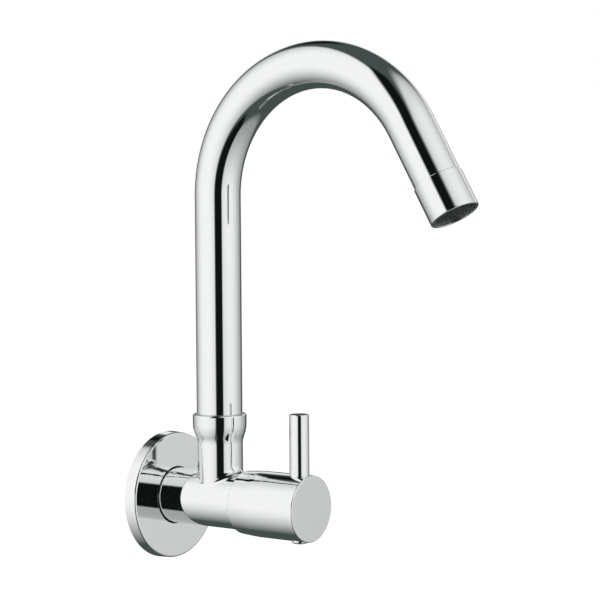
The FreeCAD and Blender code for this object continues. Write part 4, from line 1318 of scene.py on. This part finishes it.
def degrees_from(tree, way, azimuth, elevation):
    """The angle between each direction and this one."""
    aim = add(tree, VECTOR_MATH, way, direction(azimuth, elevation), operation="DOT_PRODUCT")
    away = add(tree, MATH, aim.outputs["Value"], operation="ARCCOSINE")
    return add(tree, MATH, away, operation="DEGREES")


def card_share(tree, turn, rise, low_side, high_side, bottom, top, soft):
    """How much a card covers in each direction, which its azimuth and elevation give."""
    cover = 1.0
    for value, place, rising in ((turn, low_side, 1), (turn, high_side, -1),
                                 (rise, bottom, 1), (rise, top, -1)):
        half = soft / 2 * rising
        edge = add(tree, RANGE, value, place - half, place + half, 0.0, 1.0,
                   interpolation_type="SMOOTHSTEP")
        cover = add(tree, MATH, cover, edge, operation="MULTIPLY")
    return cover


def open_share(tree, way):
    """How much of the white background the walls let through in each direction, and how much
    black cards cover."""
    share = 0.0
    for (azimuth, elevation, reach, soft), (*bright, full, faint, most, least) in OPENINGS:
        rim = add(tree, RANGE, degrees_from(tree, way, azimuth, elevation),
                  reach - soft / 2, reach + soft / 2, 1.0, 0.0, interpolation_type="SMOOTHSTEP")
        light = add(tree, RANGE, degrees_from(tree, way, *bright), full, faint, most, least,
                    interpolation_type="SMOOTHSTEP")
        share = add(tree, MATH, rim, light, share, operation="MULTIPLY_ADD")

    axes = add(tree, "ShaderNodeSeparateXYZ", way).outputs
    turn = add(tree, MATH, axes["Y"], axes["X"], operation="ARCTAN2")
    turn = add(tree, MATH, turn, TURN + FIRST_AZIMUTH, FIRST_AZIMUTH, operation="WRAP")
    turn = add(tree, MATH, turn, operation="DEGREES")
    rise = add(tree, MATH, axes["Z"], operation="ARCSINE")
    rise = add(tree, MATH, rise, operation="DEGREES")
    glow = add(tree, MATH, card_share(tree, turn, rise, *BACK_GLOW), BACK_GLOW_SHARE,
               operation="MULTIPLY")
    share = add(tree, MATH, share, glow, operation="MAXIMUM")
    black = 0.0
    for card in BLACK_CARDS:
        black = add(tree, MATH, black, card_share(tree, turn, rise, *card), operation="MAXIMUM")
    clear = add(tree, MATH, 1.0, black, operation="SUBTRACT")
    return add(tree, MATH, share, clear, operation="MULTIPLY"), black


def seen_rays(tree):
    """1 for the rays that see the background: the camera's, and those that mirrors and glass send."""
    path = add(tree, "ShaderNodeLightPath").outputs
    total = add(tree, MATH, path["Is Camera Ray"], path["Is Glossy Ray"], operation="ADD")
    return add(tree, MATH, total, path["Is Transmission Ray"], operation="ADD", use_clamp=True)


class FAUCET_OT_stage(Operator):
    """Set the camera, the pale floor, the studio walls, the white background and a soft lamp"""

    bl_idname = "faucet.stage"
    bl_label = "Stage"

    def execute(self, context):
        stage = context.scene.faucet_stage
        self.camera(context, stage)
        self.floor(context, stage)
        self.walls(context, stage)
        self.background(context, stage)
        self.lamp(context, stage)
        context.scene.view_settings.view_transform = "Standard"
        return {"FINISHED"}

    def camera(self, context, stage):
        data = bpy.data.cameras.new("photo_camera")
        data.sensor_width = 36.0
        data.lens = stage.lens
        data.shift_y = stage.shift_y
        data.clip_start = 0.05
        data.clip_end = 50.0
        camera = link("photo_camera", data)
        turn = Matrix.Rotation(stage.camera_yaw, 4, "Z")
        look = Matrix.Rotation(TURN / 4 - stage.camera_pitch, 4, "X")
        roll = Matrix.Rotation(stage.camera_roll, 4, "Z")
        camera.matrix_world = Matrix.Translation(stage.camera_place) @ turn @ look @ roll
        context.scene.camera = camera

    def floor(self, context, stage):
        half = stage.floor_size / 2
        mesh = bpy.data.meshes.new("studio_floor")
        corners = [(-half, -half), (half, -half), (half, half), (-half, half)]
        mesh.from_pydata([(x, y, stage.floor_height) for x, y in corners], [], [(0, 1, 2, 3)])
        floor = link("studio_floor", mesh)
        # Pale matt paper. Most of its white is its own, so that it runs into the background, and
        # the rest is lit, so that it keeps the shadow.
        material, tree, _ = start_material("studio_paper")
        coat(tree, {
            "Base Color": linear(context.scene.faucet_colours.floor),
            "Roughness": 0.9,
            "Emission Color": WHITE,
            "Emission Strength": add(tree, MATH, seen_rays(tree), stage.floor_glow,
                                     operation="MULTIPLY"),
        })
        mesh.materials.append(material)
        floor.visible_glossy = False

    def walls(self, context, stage):
        """A shell far round the object that only mirrors see, with the two openings in it."""
        mesh = bpy.data.meshes.new("studio_walls")
        shape = bmesh.new()
        bmesh.ops.create_icosphere(shape, subdivisions=6, radius=stage.wall_distance)
        shape.to_mesh(mesh)
        shape.free()
        walls = link("studio_walls", mesh)
        # Dark painted walls, dim and a little green.
        material, tree, place = start_material("studio_wall_paint")
        way = add(tree, VECTOR_MATH, place, operation="NORMALIZE")
        share, black = open_share(tree, way)
        dim = add(tree, RANGE, {"Value": black, "To Min": 1.0, "To Max": BLACK_SHADE})
        paint = add(tree, "ShaderNodeEmission", {
            "Color": linear(context.scene.faucet_colours.walls), "Strength": dim})
        clear = add(tree, "ShaderNodeBsdfTransparent")
        both = add(tree, "ShaderNodeMixShader", share, paint, clear)
        add(tree, "ShaderNodeOutputMaterial", {"Surface": both})
        mesh.materials.append(material)
        for ray in ("camera", "diffuse", "transmission", "volume_scatter", "shadow"):
            setattr(walls, "visible_" + ray, False)

    def background(self, context, stage):
        world = bpy.data.worlds.new("white_studio")
        tree = cleared_tree(world)
        light, backdrop = (add(tree, "ShaderNodeBackground", {"Color": WHITE, "Strength": strength})
                           for strength in (stage.light, 1.0))
        mixed = add(tree, "ShaderNodeMixShader", seen_rays(tree), light, backdrop)
        add(tree, "ShaderNodeOutputWorld", {"Surface": mixed})
        context.scene.world = world

    def lamp(self, context, stage):
        data = bpy.data.lights.new("soft_lamp", "AREA")
        data.shape = "DISK"
        data.size = stage.lamp_size
        data.energy = stage.lamp
        lamp = link("soft_lamp", data)
        lamp.location = stage.lamp_place
        aim = Vector(LAMP_AIM) - Vector(stage.lamp_place)
        lamp.rotation_euler = aim.to_track_quat("-Z", "Y").to_euler()
        lamp.visible_glossy = False


# ---- add-on ----------------------------------------------------------------------------


class FAUCET_PT_panel(Panel):
    """Sizes, colours and build steps of the faucet"""

    bl_label = "Wall Faucet"
    bl_space_type = "VIEW_3D"
    bl_region_type = "UI"
    bl_category = "Faucet"

    def draw(self, context):
        for operator in OPERATORS:
            self.layout.operator(operator.bl_idname)
        for name, group in SETTINGS.items():
            box = self.layout.box()
            box.label(text=name.replace("_", " ").title())
            for key in group.__annotations__:
                box.prop(getattr(context.scene, name), key)


SETTINGS = {
    "faucet_flange": FlangeSizes,
    "faucet_body": BodySizes,
    "faucet_handle": HandleSizes,
    "faucet_spout": SpoutSizes,
    "faucet_outlet": OutletSizes,
    "faucet_connector": ConnectorSizes,
    "faucet_colours": FinishColours,
    "faucet_stage": StageSettings,
}

OPERATORS = [
    FAUCET_OT_finishes,
    FAUCET_OT_flange,
    FAUCET_OT_connector,
    FAUCET_OT_body,
    FAUCET_OT_handle,
    FAUCET_OT_spout,
    FAUCET_OT_outlet,
    FAUCET_OT_stage,
]


def register():
    for cls in [*SETTINGS.values(), *OPERATORS, FAUCET_PT_panel]:
        bpy.utils.register_class(cls)
    for name, group in SETTINGS.items():
        setattr(bpy.types.Scene, name, PointerProperty(type=group))


def unregister():
    for name in SETTINGS:
        delattr(bpy.types.Scene, name)
    for cls in [*SETTINGS.values(), *OPERATORS, FAUCET_PT_panel]:
        bpy.utils.unregister_class(cls)


def main():
    register()
    for operator in OPERATORS:
        area, name = operator.bl_idname.split(".")
        getattr(getattr(bpy.ops, area), name)()


if __name__ == "__main__":
    main()
